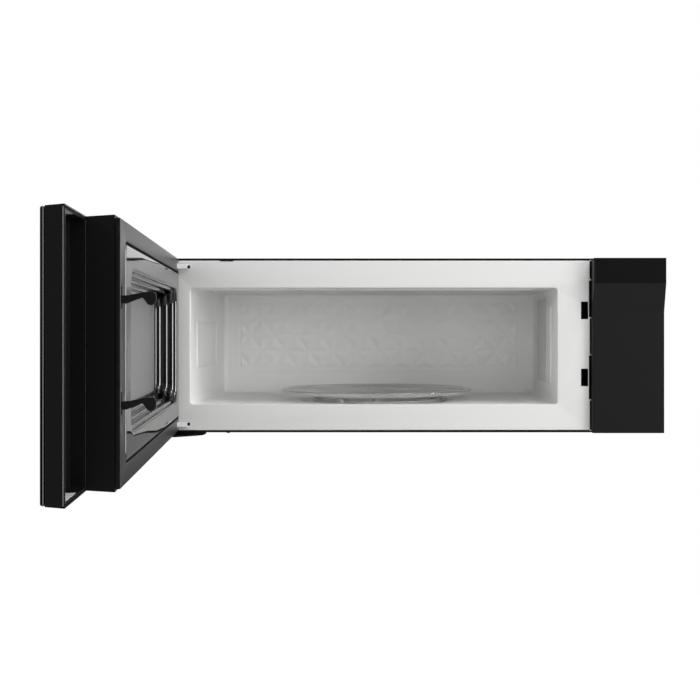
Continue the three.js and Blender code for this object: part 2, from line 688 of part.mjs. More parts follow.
// The white front plate: the oven's mouth, two latch holes, and the dark
// slots along the control column.
function frontPlate() {
  const across = grown([LEFT, RIGHT], -HEM - FIT);
  const high = grown([BOTTOM, TOP], -HEM - FIT);
  const corner = 2;
  const face = prism(roundedRect(across, high, corner), 'y', FRONT, FRONT + PLATE_RETURN, 1);
  const hollow = prism(roundedRect(grown(across, -PLATE), grown(high, -PLATE), 1), 'y',
    PLATE_BACK, FRONT + PLATE_RETURN + 1, 1);
  const oven = prism(mouth(), 'y', FRONT - 1, PLATE_BACK + 1);
  const holes = HOOKS.map((z) =>
    block(around(HOOK_X, LATCH_HOLE_W), [FRONT - 1, PLATE_BACK + 1],
      around(z + LATCH_HOLE_RISE, LATCH_HOLE_H)));
  const slots = JOINT_SLOTS.map((z) =>
    block([COLUMN_LEFT - FIT - JOINT_SLOT_W, COLUMN_LEFT - FIT], [FRONT - 1, PLATE_BACK + 1], z));
  return piece('front_plate', cut(face, hollow, oven, ...holes, ...slots), whiteEnamel);
}

// The triangle field on the back wall: rows of triangles standing alternately
// on their base and on their point, each raised to a low three-sided pyramid.
function facetField() {
  const [x0, x1] = grown([CAV_LEFT, CAV_RIGHT], -FIELD_MARGIN_X);
  const z0 = CAV_FLOOR + FIELD_MARGIN_BOTTOM;
  const z1 = CAV_TOP - FIELD_MARGIN_TOP;
  const rise = (z1 - z0) / FIELD_ROWS;
  const base = CAV_BACK - PANEL_RISE;
  const count = Math.ceil((x1 - x0) / FIELD_PITCH) + 2;
  const points = [];
  for (let r = 0; r <= FIELD_ROWS; r += 1) {
    const shift = r % 2 ? 0 : -FIELD_PITCH / 2;
    for (let i = 0; i < count; i += 1) points.push([x0 + shift + i * FIELD_PITCH, base, z0 + r * rise]);
  }
  const triangles = [];
  const pyramid = (a, b, c) => {
    const apex = points.length;
    const middle = (k) => (points[a][k] + points[b][k] + points[c][k]) / 3;
    points.push([middle(0), base - FACET_RISE, middle(2)]);
    triangles.push([a, b, apex], [b, c, apex], [c, a, apex]);
  };
  for (let r = 0; r < FIELD_ROWS; r += 1) {
    const low = r * count;
    const high = low + count;
    for (let i = 0; i + 1 < count; i += 1) {
      if (r % 2) {
        pyramid(low + i, low + i + 1, high + i + 1);
        pyramid(low + i, high + i + 1, high + i);
      } else {
        pyramid(low + i, low + i + 1, high + i);
        pyramid(low + i + 1, high + i + 1, high + i);
      }
    }
  }
  const field = thickened(points, triangles, [0, FACET_RISE + 0.4, 0]);
  return field.intersect(block([x0, x1], [base - 2 * FACET_RISE, CAV_BACK + 0.5], [z0, z1]));
}

// The cavity: a deep drawn box with its flange, the embossed field on its back
// wall, a sunk floor with the roller well, and the vents and ports in its walls.
function cavityLiner() {
  let body = prism(mouth(LINER), 'y', LINER_FRONT, CAV_BACK + LINER);
  body = body.add(prism(mouth(LINER_FLANGE), 'y', LINER_FRONT, LINER_FRONT + LINER));
  const sink = (wall) => roundedRect(
    grown([CAV_LEFT, CAV_RIGHT], wall - SINK_MARGIN_X),
    grown([LINER_FRONT, CAV_BACK], wall - SINK_MARGIN_Y), SINK_R + wall);
  body = body.add(prism(sink(LINER), 'z', CAV_FLOOR - SINK_DEPTH - LINER, CAV_FLOOR, 3));
  body = body.add(bar('z', [TRAY_X, TRAY_Y], TRACK_R + LINER, TRACK_Z - LINER, CAV_FLOOR, 24));
  body = cut(body,
    prism(mouth(), 'y', LINER_FRONT - 1, CAV_BACK),
    prism(sink(0), 'z', CAV_FLOOR - SINK_DEPTH, CAV_FLOOR + CAVITY_R, 3),
    bar('z', [TRAY_X, TRAY_Y], TRACK_R, TRACK_Z, CAV_FLOOR + CAVITY_R, 24),
    bar('z', [TRAY_X, TRAY_Y], SHAFT_R + 2, TRACK_Z - 5, CAV_FLOOR, 10));

  const panelX = grown([CAV_LEFT, CAV_RIGHT], PANEL_BORDER - FIELD_MARGIN_X);
  const panelZ = [CAV_FLOOR + FIELD_MARGIN_BOTTOM - PANEL_BORDER, CAV_TOP - FIELD_MARGIN_TOP + PANEL_BORDER];
  const panel = prism(roundedRect(panelX, panelZ, 6), 'y', CAV_BACK - PANEL_RISE, CAV_BACK + 0.5);
  const facets = facetField();

  const depthRange = ([near, far]) => [FRONT + near, FRONT + far];
  const ringY = depthRange(LEFT_EMBOSS.depth);
  const ring = roundedRect(ringY, LEFT_EMBOSS.height, 6);
  ring.holes.push(roundedRect(grown(ringY, -EMBOSS_W), grown(LEFT_EMBOSS.height, -EMBOSS_W), 4));
  const leftEmboss = prism(ring, 'x', CAV_LEFT - 0.5, CAV_LEFT + EMBOSS_RISE, 1);
  const rib = roundedRect(around(FRONT + RIGHT_RIB.depth, EMBOSS_W), RIGHT_RIB.height, EMBOSS_W / 2 - 0.01);
  const rightRib = prism(rib, 'x', CAV_RIGHT - EMBOSS_RISE, CAV_RIGHT + 0.5, 1);
  const bossAt = [CAV_LEFT + 2 * BOSS_R, CAV_FLOOR + BOSS_R + 4];
  const boss = bar('y', bossAt, BOSS_R, CAV_BACK - BOSS_RISE, CAV_BACK + 0.5, 10);
  body = joined(body, panel, facets, leftEmboss, rightRib, boss);

  const ventZ = CAV_TOP - VENT_DROP;
  const vents = row(VENT_COUNT, VENT_PITCH, FRONT + VENT_MIDDLE).map((y) =>
    bar('x', [y, ventZ], VENT_HOLE_R, CAV_LEFT - 4, CAV_LEFT + 2, VENT_SIDES));
  for (const y of row(LAMP_VENT_COUNT, VENT_PITCH, lampHolderY())) {
    vents.push(bar('x', [y, ventZ], VENT_HOLE_R, CAV_RIGHT - 2, CAV_RIGHT + 4, VENT_SIDES));
  }
  const port = block([CAV_RIGHT - 2, CAV_RIGHT + 4], portY(), portZ());
  return piece('cavity_liner', cut(body, ...vents, port), greyEnamel);
}

// The port where the waveguide meets the cavity, behind the mica.
const portY = () => [guideFront() + PORT_START, guideFront() + PORT_START + PORT_L];
const portZ = () => grown([GUIDE_BOTTOM, GUIDE_BOTTOM + GUIDE_H], -PORT_MARGIN);
const lampHolderY = () => guideFront() + LAMP_HOLDER_START;

function waveguideCover() {
  const face = [CAV_RIGHT - FIT - MICA.thickness, CAV_RIGHT - FIT];
  const along = grown(portY(), MICA.border);
  const high = [CAV_FLOOR + MICA.above, CAV_TOP - MICA.below];
  return piece('waveguide_cover', prism(roundedRect(along, high, 3), 'x', ...face), mica);
}

// ---------------------------------------------------------------- turntable

// The glass tray, turned: a flat middle and a raised rim with a steep outer wall.
function glassTray() {
  const rim = TRAY_RIM - TRAY_BASE;
  const floor = TRAY_GLASS - 1;
  const profile = [
    [0, 0], [TRAY_R - 11, 0], [TRAY_R - 4, 1.4], [TRAY_R - 1, 4], [TRAY_R, 7.4], [TRAY_R, rim - 1.4],
    [TRAY_R - 1.4, rim], [TRAY_R - 4, rim - 0.8], [TRAY_R - 6, rim - 4.4], [TRAY_R - 10, floor + 1.4],
    [TRAY_R - 17, floor], [0, floor],
  ];
  return piece('glass_tray', turned(profile, 36), glass, [TRAY_X, TRAY_Y, TRAY_UNDERSIDE]);
}

// The three-armed coupler that the tray sits on.
function turntableCoupler() {
  const top = TRAY_UNDERSIDE - FIT;
  const low = TRACK_Z + 2;
  const hub = bar('z', [0, 0], SHAFT_R + 4, low, top, 18);
  const arm = block([0, COUPLER_R], [-3.2, 3.2], [top - 5, top]);
  const bore = bar('z', [0, 0], SHAFT_R + COUPLER_BORE_CLEARANCE, low - 1, top - 2.5, 18);
  return piece('turntable_coupler', cut(joined(hub, ...spun(arm, 3)), bore), whitePlastic, [TRAY_X, TRAY_Y, 0]);
}

// The roller ring: a flat hoop with three stub axles pointing outwards.
function rollerRing() {
  const inner = ROLLER_TRACK_R - ROLLER_W / 2 - 1 - RING_SECTION;
  const hoop = new THREE.Shape();
  hoop.absarc(0, 0, inner + RING_SECTION, 0, 2 * Math.PI);
  const hole = new THREE.Path();
  hole.absarc(0, 0, inner, 0, 2 * Math.PI);
  hoop.holes.push(hole);
  const ring = prism(hoop, 'z', -2, 2, 16);
  const rollerEnd = ROLLER_TRACK_R + ROLLER_W / 2;
  const axle = bar('x', [0, 0], AXLE_R, inner + 1, rollerEnd + 1.2, 6);
  const head = bar('x', [0, 0], AXLE_R + 1.1, rollerEnd + 0.5, rollerEnd + 1.8, 6);
  return piece('roller_ring', joined(ring, ...spun(axle.add(head), ROLLER_COUNT)), whitePlastic,
    [TRAY_X, TRAY_Y, ROLLER_Z]);
}

function roller(number) {
  const half = ROLLER_W / 2;
  const bore = AXLE_R + 0.4;
  const profile = [[bore, -half], [ROLLER_R - 1, -half], [ROLLER_R, 1 - half], [ROLLER_R, half - 1],
    [ROLLER_R - 1, half], [bore, half], [bore, -half]];
  const mesh = piece(`roller_${number}`, turned(profile, 14), whitePlastic);
  const angle = 2 * Math.PI * (number - 1) / ROLLER_COUNT;
  mesh.rotation.set(0, Math.PI / 2, angle, 'ZYX');
  mesh.position.set(
    TRAY_X + ROLLER_TRACK_R * Math.cos(angle),
    TRAY_Y + ROLLER_TRACK_R * Math.sin(angle),
    ROLLER_Z);
  return mesh;
}

function turntableMotor() {
  const top = TRACK_Z - LINER - FIT;
  const can = bar('z', [0, 0], 25, top - 15, top, 20);
  const ears = [-1, 1].map((side) => prism(roundedRect(
    side < 0 ? [-33, -20] : [20, 33], [-6, 6], 4), 'z', top - 1.5, top, 1));
  const shaft = bar('z', [0, 0], SHAFT_R, top - 1, TRAY_UNDERSIDE - FIT - 3.2, 18);
  return piece('turntable_motor', joined(can, ...ears, shaft), galvanised, [TRAY_X, TRAY_Y, 0]);
}

// ---------------------------------------------------------------- control column

// The fixed black column: a hollow moulding with a brow at the top, a face that
// slopes back below it for the fingers, and a chamfered inner edge.
function controlColumn() {
  const back = FRONT - FIT;
  const top = TOP - COLUMN_TOP_GAP;
  const low = BOTTOM;
  const side = (wall) => polygon([
    [back + (wall ? 1 : 0), low + wall], [back + (wall ? 1 : 0), top - wall],
    [FRONT - COLUMN_STANDOUT + wall, top - wall], [FRONT - COLUMN_STANDOUT + wall, BROW_BOTTOM],
    [FRONT - COLUMN_RECESS + wall, SLOPE_BOTTOM], [FRONT - COLUMN_RECESS + wall, low + wall]]);
  const body = prism(side(0), 'x', COLUMN_LEFT, RIGHT);
  const hollow = prism(side(COLUMN_WALL), 'x', COLUMN_LEFT + COLUMN_WALL, RIGHT - COLUMN_WALL);
  const standout = FRONT - COLUMN_STANDOUT;
  const edge = polygon([
    [COLUMN_LEFT - 1, standout - 1], [COLUMN_LEFT + COLUMN_CHAMFER, standout - 1],
    [COLUMN_LEFT + COLUMN_CHAMFER, standout], [COLUMN_LEFT, standout + COLUMN_CHAMFER],
    [COLUMN_LEFT - 1, standout + COLUMN_CHAMFER]]);
  const chamfer = prism(edge, 'z', low - 1, top + 1);
  const lowerEdge = chamfer.translate([0, COLUMN_STANDOUT - COLUMN_RECESS, 0])
    .intersect(block([COLUMN_LEFT - 2, COLUMN_LEFT + 5], [standout - 2, FRONT], [low - 2, SLOPE_BOTTOM]));
  return piece('control_column', cut(body, hollow, chamfer, lowerEdge), blackPlastic);
}

function controlBoard() {
  const face = PLATE_BACK + FIT;
  const y = face + BOARD_STANDOFF;
  const across = [COLUMN_LEFT + BOARD_MARGIN, RIGHT - 2 * BOARD_MARGIN];
  const high = around(0, BOARD_H);
  const board = block(across, [y, y + BOARD], high);
  const posts = [];
  for (const x of grown(across, -2 * POST_R)) {
    for (const z of grown(high, -2 * POST_R)) posts.push(bar('y', [x, z], POST_R, face, y + BOARD / 2, 8));
  }
  const back = y + BOARD - 0.1;
  const [relayLeft, supplyLeft] = [across[0] + BOARD_MARGIN, across[1] - BOARD_MARGIN - SUPPLY.w];
  const relays = row(RELAY.count, RELAY.pitch, RELAY.z).map((z) =>
    block([relayLeft, relayLeft + RELAY.w], [back, back + RELAY.d], around(z, RELAY.h)));
  const supply = block([supplyLeft, supplyLeft + SUPPLY.w], [back, back + SUPPLY.d], around(SUPPLY.z, SUPPLY.h));
  return piece('control_board', joined(board, ...posts, ...relays, supply), boardGreen);
}

// ---------------------------------------------------------------- machine bay

// The waveguide: a sheet duct from the magnetron to the cavity's port.
function waveguide() {
  const x = [BAY_LEFT, BAY_LEFT + GUIDE_W];
  const y = [guideFront(), guideFront() + GUIDE_L];
  const z = [GUIDE_BOTTOM, GUIDE_BOTTOM + GUIDE_H];
  const shell = block(x, y, z);
  const inside = block(grown(x, -GUIDE_SHEET), grown(y, -GUIDE_SHEET), grown(z, -GUIDE_SHEET));
  const flange = block([x[0], x[0] + GUIDE_SHEET], grown(y, GUIDE_FLANGE), grown(z, GUIDE_FLANGE));
  const port = block([x[0] - 1, x[0] + 3], portY(), portZ());
  const antenna = bar('x', [magnetronY(), magnetronZ()], ANTENNA_R + 2, x[1] - 4, x[1] + 1, 16);
  return piece('waveguide', cut(joined(shell, flange), inside, port, antenna), galvanised);
}

const guideFront = () => -GUIDE_FRONT;
const magnetronY = () => guideFront() + MAGNETRON_L / 2 + FAN_CLEARANCE;
const magnetronZ = () => GUIDE_BOTTOM + GUIDE_H / 2;

// The magnetron: a yoke round a stack of cooling fins, its antenna on one
// side and the filter box on the other. Built about the antenna's axis.
function magnetron() {
  const w = MAGNETRON_W;
  const y = around(0, MAGNETRON_L);
  const z = around(0, MAGNETRON_H);
  const yoke = cut(block([0, w], y, z), block([YOKE, w - YOKE], grown(y, 1), grown(z, -YOKE)));
  const anode = bar('x', [0, 0], ANODE_R, 1, w - 1, 10);
  const fins = row(COOLING_FINS, (w - 20) / (COOLING_FINS - 1), w / 2).map((x) =>
    block(around(x, 1), grown(y, -4), grown(z, -1)));
  const antenna = turned([[0, -24], [3, -24], [5, -21], [5, -12], [ANTENNA_R, -10], [ANTENNA_R, 1], [0, 1]], 12)
    .rotate([0, 90, 0]);
  const filterBox = block([w - 1, w + FILTER_BOX.w], around(0, FILTER_BOX.l), around(0, FILTER_BOX.h));
  const terminal = block([w + 8, w + 18], [FILTER_BOX.l / 2 - 1, FILTER_BOX.l / 2 + 8], [-10, 10]);
  const body = joined(yoke, anode, ...fins, antenna, filterBox, terminal);
  return piece('magnetron', body, galvanised, [BAY_LEFT + GUIDE_W + FIT, magnetronY(), magnetronZ()]);
}

const coreX = () => BAY_RIGHT - BAY_SIDE_ROOM - CORE.w / 2;
const coreY = () => -BAY_REAR_ROOM - CORE.window - CORE.d / 2;

// The high-voltage transformer: a laminated core with two windows, and one
// wound coil round its middle limb.
function transformerCore() {
  const body = block(around(0, CORE.w), around(0, CORE.d), [0, CORE.h]);
  const windows = [-1, 1].map((side) => {
    const x = side * (CORE.limb / 2 + CORE.window / 2);
    return block(around(x, CORE.window), around(0, CORE.d + 2), grown([0, CORE.h], -CORE.limb / 2));
  });
  const foot = block(around(0, CORE.w + 2 * CORE_FOOT), around(0, CORE.d - 2 * CORE_FOOT), [0, 1.5]);
  const core = cut(joined(body, foot), ...windows);
  return piece('transformer_core', core, galvanised, [coreX(), coreY(), BAY_FLOOR]);
}

function transformerCoils() {
  const outer = roundedRect(around(0, CORE.limb + 2 * CORE.window - 2 * FIT),
    around(0, CORE.d + 2 * CORE.window), CORE.window - 2);
  outer.holes.push(roundedRect(around(0, CORE.limb + 2 * FIT), around(0, CORE.d + 2 * FIT), 1));
  const high = grown([0, CORE.h], -CORE.limb / 2 - FIT);
  const wound = prism(outer, 'z', high[0], high[1], 2);
  return piece('transformer_coils', wound, copper, [coreX(), coreY(), BAY_FLOOR]);
}

function capacitor() {
  const side = (CAN.w - CAN.d) / 2;
  const oval = new THREE.Shape();
  oval.absarc(side, 0, CAN.d / 2, -Math.PI / 2, Math.PI / 2);
  oval.absarc(-side, 0, CAN.d / 2, Math.PI / 2, 1.5 * Math.PI);
  const can = prism(oval, 'z', 0, CAN.h, 4);
  const lugs = [-1, 1].map((s) => block(around(s * 12, 6), around(0, 1), [CAN.h - 0.5, CAN.h + 9]));
  return piece('capacitor', joined(can, ...lugs), aluminium, [canX(), canY(), BAY_FLOOR]);
}

const canX = () => BAY_RIGHT - BAY_SIDE_ROOM - CAN.w / 2;
const canY = () => fanY() - CAN_FAN_GAP - CAN.d / 2;

// The high-voltage diode, bolted to the base by its lug.
function diode() {
  const half = DIODE.w / 2;
  const lug = block([-half, half], [-22, -6], [0, 1.2]);
  const post = block([-half, half], [-7.5, -6], [0, DIODE.z + 4]);
  const pill = bar('y', [0, DIODE.z], DIODE.r, -6.5, 14, 12);
  const x = canX() - CAN.w / 2 - 2 * DIODE.w;
  return piece('hv_diode', joined(lug, post, pill), blackPlastic, [x, canY(), BAY_FLOOR]);
}

const fanX = () => BAY_LEFT + GUIDE_W + MAGNETRON_W / 2 + FAN_OFFSET;
const fanY = () => guideFront() + GUIDE_L + GUIDE_FLANGE + CAN_FAN_GAP;
const fanZ = () => magnetronZ();

// The baffle across the bay with the fan's ring, and three arms that hold the motor.
function fanShroud() {
  const ringR = FAN_R + FAN_CLEARANCE;
  const plate = block([BAY_LEFT, BAY_RIGHT - REAR_SHEET - FIT], [0, BAFFLE], [BAY_FLOOR, fanZ() + ringR + 8])
    .translate([-fanX(), 0, -fanZ()]);
  const hoop = bar('y', [0, 0], ringR + 1.6, 0, FAN_DEPTH, 20);
  const arm = block([0, ringR + 1], [FAN_DEPTH - 3, FAN_DEPTH + SEAT], around(0, 6));
  const arms = [30, 150, 270].map((angle) => arm.rotate([0, -angle, 0]));
  const clear = bar('y', [0, 0], ringR, -1, FAN_DEPTH + SEAT + 1, 20);
  const seat = bar('y', [0, 0], FAN_HUB_R + 2, FAN_DEPTH + 2, FAN_DEPTH + SEAT, 12);
  const bore = bar('y', [0, 0], FAN_SHAFT_R + 1.5, FAN_DEPTH - SEAT, FAN_DEPTH + SEAT + 2, 10);
  const ring = cut(hoop.add(plate), clear);
  const hubRoom = around(0, 2 * FAN_HUB_R + 8);
  const body = cut(joined(ring, ...arms, seat), bore, block(hubRoom, [FAN_DEPTH - 4, FAN_DEPTH + 1.8], hubRoom));
  return piece('fan_shroud', body, blackPlastic, [fanX(), fanY(), fanZ()]);
}

// A shaded-pole motor: a square laminated stack, a coil bobbin and the shaft.
function fanMotor() {
  const front = FAN_DEPTH + SEAT + FIT;
  const half = FAN_MOTOR.w / 2;
  const stack = block([-half, half], [front, front + FAN_MOTOR.d], [FAN_MOTOR.z - half, FAN_MOTOR.z + half]);
  const bobbin = block([-half / 2, half / 2], [front, front + FAN_MOTOR.d + 6], [-half - 6, -10]);
  const shaft = bar('y', [0, 0], FAN_SHAFT_R, 6, front + FAN_MOTOR.d + 2, 12);
  return piece('fan_motor', joined(stack, bobbin, shaft), galvanised, [fanX(), fanY(), fanZ()]);
}

// The cooling fan: twisted blades on a hub. Built about Z and turned to face +Y.
function fanBlades() {
  const stations = 4;
  const points = [];
  const triangles = [];
  for (let i = 0; i < stations; i += 1) {
    const t = i / (stations - 1);
    const r = THREE.MathUtils.lerp(FAN_HUB_R - 2, FAN_R, t);
    const pitch = THREE.MathUtils.degToRad(THREE.MathUtils.lerp(...FAN_PITCH_DEG, t));
    const half = THREE.MathUtils.lerp(...FAN_CHORD, t) / 2;
    for (const side of [-1, 1]) {
      const angle = side * half * Math.cos(pitch) / r;
      points.push([r * Math.cos(angle), r * Math.sin(angle), side * half * Math.sin(pitch)]);
    }
    if (i > 0) {
      const k = 2 * i;
      triangles.push([k - 2, k, k - 1], [k, k + 1, k - 1]);
    }
  }
  const blade = thickened(points, triangles, [0, 0, 1.4]);
  const hub = cut(bar('z', [0, 0], FAN_HUB_R, -6, 7, 16), bar('z', [0, 0], FAN_SHAFT_R + 0.4, -9, 9, 10));
  const mesh = piece('fan_blades', joined(hub, ...spun(blade, FAN_BLADES)), whitePlastic);
  mesh.rotation.x = -Math.PI / 2;
  mesh.position.set(fanX(), fanY() + FAN_DEPTH / 2, fanZ());
  return mesh;
}

function lampHolder() {
  const y = around(lampHolderY(), LAMP_HOLDER.d);
  const x = [BAY_LEFT, BAY_LEFT + LAMP_HOLDER.w];
  const shell = block(x, y, lampHolderZ());
  const inside = block([x[0] - 1, x[1] - LAMP_HOLDER.wall], grown(y, -LAMP_HOLDER.wall),
    grown(lampHolderZ(), -LAMP_HOLDER.wall));
  const middle = (lampHolderZ()[0] + lampHolderZ()[1]) / 2;
  const root = x[1] - 3;
  const socket = bar('x', [lampHolderY(), middle], LAMP_HOLDER.socketR, root, root + LAMP_HOLDER.socketL, 16);
  return piece('lamp_holder', joined(cut(shell, inside), socket), whitePlastic);
}

// Between the waveguide's flange and the cavity's top.
const lampHolderZ = () => [GUIDE_BOTTOM + GUIDE_H + LAMP_HOLDER.rise, CAV_TOP - 1];

function cavityLamp() {
  const z = (lampHolderZ()[0] + lampHolderZ()[1]) / 2;
  const profile = [[0, 0], [5, 0], [5, 4], [7.5, 8], [8.2, 12], [7, 17], [4, 19.5], [0, 20.5]];
  const mesh = piece('cavity_lamp', turned(profile, 8), lampGlass);
  mesh.rotation.y = -Math.PI / 2;
  mesh.position.set(BAY_LEFT + LAMP_HOLDER.w - 3 - FIT, lampHolderY(), z);
  return mesh;
}

// ---------------------------------------------------------------- vent blower

const BLOWER_Y = -REAR_BAY / 2 - 0.5;
const SCROLL_R = WHEEL_R + SCROLL_CLEARANCE;

// The scroll: a spiral that grows round the wheel and opens upwards.
// Drawn about the shaft in (y, z), as an outline at a given offset.
function scrollOutline(offset, top) {
  const shape = new THREE.Shape();
  const steps = 8;
  for (let i = 0; i <= steps; i += 1) {
    const t = i / steps;
    const angle = -t * Math.PI;
    const r = SCROLL_R + SCROLL_GROWTH * t + offset;
    const point = [r * Math.cos(angle), r * Math.sin(angle)];
    if (i === 0) shape.moveTo(...point);
    else shape.lineTo(...point);
  }
  shape.lineTo(-(SCROLL_R + SCROLL_GROWTH) - offset, top);
  shape.lineTo(SCROLL_R + offset, top);
  return shape;
}

// How far along the shaft each scroll runs, from the middle of the motor.
const scrollEnd = () => VENT_MOTOR_L / 2 + SCROLL_MOTOR_GAP;
const scrollSpan = (side) => {
  const far = scrollEnd() + WHEEL_L + 2 * WHEEL_END_GAP;
  return side < 0 ? [-far, -scrollEnd()] : [scrollEnd(), far];
};

// Two scrolls side by side with round inlets in their ends, joined by the
// cradle that carries the motor between them.
function blowerHousing() {
  const top = TOP - SHEET - FIT - REAR_SHEET - FIT - BLOWER_Z;
  const outer = scrollOutline(SCROLL_SHEET, top);
  const inner = scrollOutline(0, top + 1);
  const scrolls = [];
  for (const side of [-1, 1]) {
    const span = scrollSpan(side);
    const shell = prism(outer, 'x', span[0], span[1]);
    const room = prism(inner, 'x', span[0] + SCROLL_SHEET, span[1] - SCROLL_SHEET);
    const inlets = bar('x', [0, 0], WHEEL_R - SCROLL_LIP, span[0] - 1, span[1] + 1, 16);
    scrolls.push(cut(shell, room, inlets));
  }
  const reach = scrollEnd() + 1;
  const cradle = block([-reach, reach], around(0, CRADLE.d), around(-VENT_MOTOR_R, 2 * CRADLE.t));
  const motorRoom = bar('x', [0, 0], VENT_MOTOR_R + FIT, -reach - 1, reach + 1, 20);
  const flangeY = [DUCT_Y - DUCT_D / 2 - DUCT_FLANGE, -DUCT_WALL_GAP - FIT].map((y) => y - BLOWER_Y);
  const plate = block(around(0, DUCT_W + 2 * DUCT_FLANGE), flangeY, [top - SCROLL_SHEET, top]);
  const outlets = [-1, 1].map((side) => {
    const span = grown(scrollSpan(side), -SCROLL_SHEET);
    const mouthRoom = block(span, around(0, DUCT_W), [top - 2 * SCROLL_SHEET, top + 1]);
    return prism(inner, 'x', ...span).intersect(mouthRoom);
  });
  const body = joined(...scrolls, cut(cradle, motorRoom), cut(plate, ...outlets));
  return piece('blower_housing', body, galvanised, [0, BLOWER_Y, BLOWER_Z]);
}

function ventMotor() {
  const half = VENT_MOTOR_L / 2;
  const shoulder = VENT_MOTOR_SHOULDER;
  const can = turned([
    [0, -half], [VENT_MOTOR_R - shoulder, -half], [VENT_MOTOR_R, shoulder - half],
    [VENT_MOTOR_R, half - shoulder], [VENT_MOTOR_R - shoulder, half], [0, half]], 20);
  const shaft = bar('z', [0, 0], VENT_SHAFT_R, -half - VENT_SHAFT_L, half + VENT_SHAFT_L, 12);
  const mesh = piece('vent_motor', can.add(shaft), galvanised, [0, BLOWER_Y, BLOWER_Z]);
  mesh.rotation.y = Math.PI / 2;
  return mesh;
}

// A squirrel-cage wheel: forward-curved blades between two rings, carried by
// a web and hub part of the way along. Built about Z and turned onto X.
function ventWheel(name, side) {
  const half = WHEEL_L / 2;
  const inner = WHEEL_R - BLADE_CHORD;
  const points = [];
  const triangles = [];
  const stations = 2;
  for (let i = 0; i <= stations; i += 1) {
    const t = i / stations;
    const r = inner + 0.8 + t * (BLADE_CHORD - 1.6);
    const lean = 0.16 * t * t;
    for (const z of [-half + 0.5, half - 0.5]) points.push([r * Math.cos(lean), r * Math.sin(lean), z]);
    if (i > 0) {
      const k = 2 * i;
      triangles.push([k - 2, k, k - 1], [k, k + 1, k - 1]);
    }
  }
  const blade = thickened(points, triangles, [0, 0.9, 0]);
  const hoop = (low, high) =>
    turned([[inner, low], [WHEEL_R, low], [WHEEL_R, high], [inner, high], [inner, low]], 16);
  const webZ = side * (half - WHEEL_WEB);
  const web = bar('z', [0, 0], inner + 2, -webZ - 1, -webZ + 1, 16);
  const hub = bar('z', [0, 0], WHEEL_HUB.r, ...around(-webZ, WHEEL_HUB.l), 10);
  const bore = bar('z', [0, 0], VENT_SHAFT_R + 0.4, -webZ - 8, -webZ + 8, 10);
  const cage = joined(hoop(-half, 2 - half), hoop(half - 2, half), web, hub, ...spun(blade, WHEEL_BLADES));
  const mesh = piece(name, cut(cage, bore), galvanised);
  mesh.rotation.y = Math.PI / 2;
  mesh.position.set(side * (scrollEnd() + WHEEL_END_GAP + half), BLOWER_Y, BLOWER_Z);
  return mesh;
}

// ---------------------------------------------------------------- exhaust collar

const COLLAR_TOP = TOP + DUCT_RISE;
const FLAP_Z = TOP + FLAP_RISE;
const FLAP_HINGE_Y = DUCT_D / 2 - DUCT_SHEET - FLAP_GAP - FLAP_PIN_R;

// The collar for a 3 1/4 by 10 inch duct: it stands through the case's opening
// on a flange that seats under the sheet.
function damperFrame() {
  const w = around(0, DUCT_W);
  const d = around(0, DUCT_D);
  const under = TOP - SHEET - FIT;
  const flangeD = [-DUCT_D / 2 - DUCT_FLANGE, DUCT_D / 2];
  const flange = block(grown(w, DUCT_FLANGE), flangeD, [under - REAR_SHEET, under]);
  const walls = block(w, d, [under - REAR_SHEET, COLLAR_TOP]);
  const inside = block(grown(w, -DUCT_SHEET), grown(d, -DUCT_SHEET), [under - 10, COLLAR_TOP + 1]);
  const bores = bar('x', [FLAP_HINGE_Y, FLAP_Z], FLAP_PIN_R + 0.4, -DUCT_W, DUCT_W, 10);
  const stopTop = FLAP_Z - FLAP / 2 - FIT;
  const stop = block(around(0, FLAP_STOP_W), [d[0] + 0.5, d[0] + 4], [stopTop - 1, stopTop]);
  const body = joined(cut(joined(flange, walls), inside), stop);
  return piece('damper_frame', cut(body, bores), galvanised, [0, DUCT_Y, 0]);
}

function damperFlap() {
  const w = DUCT_W / 2 - DUCT_SHEET - FLAP_GAP;
  const front = -DUCT_D / 2 + DUCT_SHEET + FLAP_GAP - FLAP_HINGE_Y;
  const plate = block([-w, w], [front, 0], around(0, FLAP));
  const rib = block([-w + 10, w - 10], [front * 0.52, front * 0.48], [FLAP / 2 - 0.1, 2.6]);
  const pin = bar('x', [0, 0], FLAP_PIN_R, -DUCT_W / 2 - 1.5, DUCT_W / 2 + 1.5, 10);
  const pinEnds = pin.intersect(joined(
    block([-DUCT_W, -w + 12], [-5, 5], [-5, 5]), block([w - 12, DUCT_W], [-5, 5], [-5, 5])));
  return piece('damper_flap', joined(plate, rib, pinEnds), galvanised, [0, DUCT_Y + FLAP_HINGE_Y, FLAP_Z]);
}

// ---------------------------------------------------------------- hinges and latch, on the case

// A hinge leaf on the front plate: a bar, an arm out to the knuckle, and the
// pin that the door turns on. The lower pin points up and the upper one down.
function hinge(name, z, pinDown) {
  const barBack = HINGE_FRONT - FIT;
  const leaf = block([-KNUCKLE_R, -KNUCKLE_R + HINGE_W], [barBack - HINGE_BAR, barBack], around(0, HINGE_H));
  const arm = block([-KNUCKLE_R, KNUCKLE_R], [0, barBack - 1], around(0, HINGE_H));
  const knuckle = bar('z', [0, 0], KNUCKLE_R, -HINGE_H / 2, HINGE_H / 2, 20);
  const tip = HINGE_H / 2 + PIN_LENGTH;
  const pin = bar('z', [0, 0], PIN_R, pinDown ? -tip : 0, pinDown ? 0 : tip, 16);
  return piece(name, joined(leaf, arm, knuckle, pin), brightSteel, [AXIS_X, AXIS_Y, z]);
}

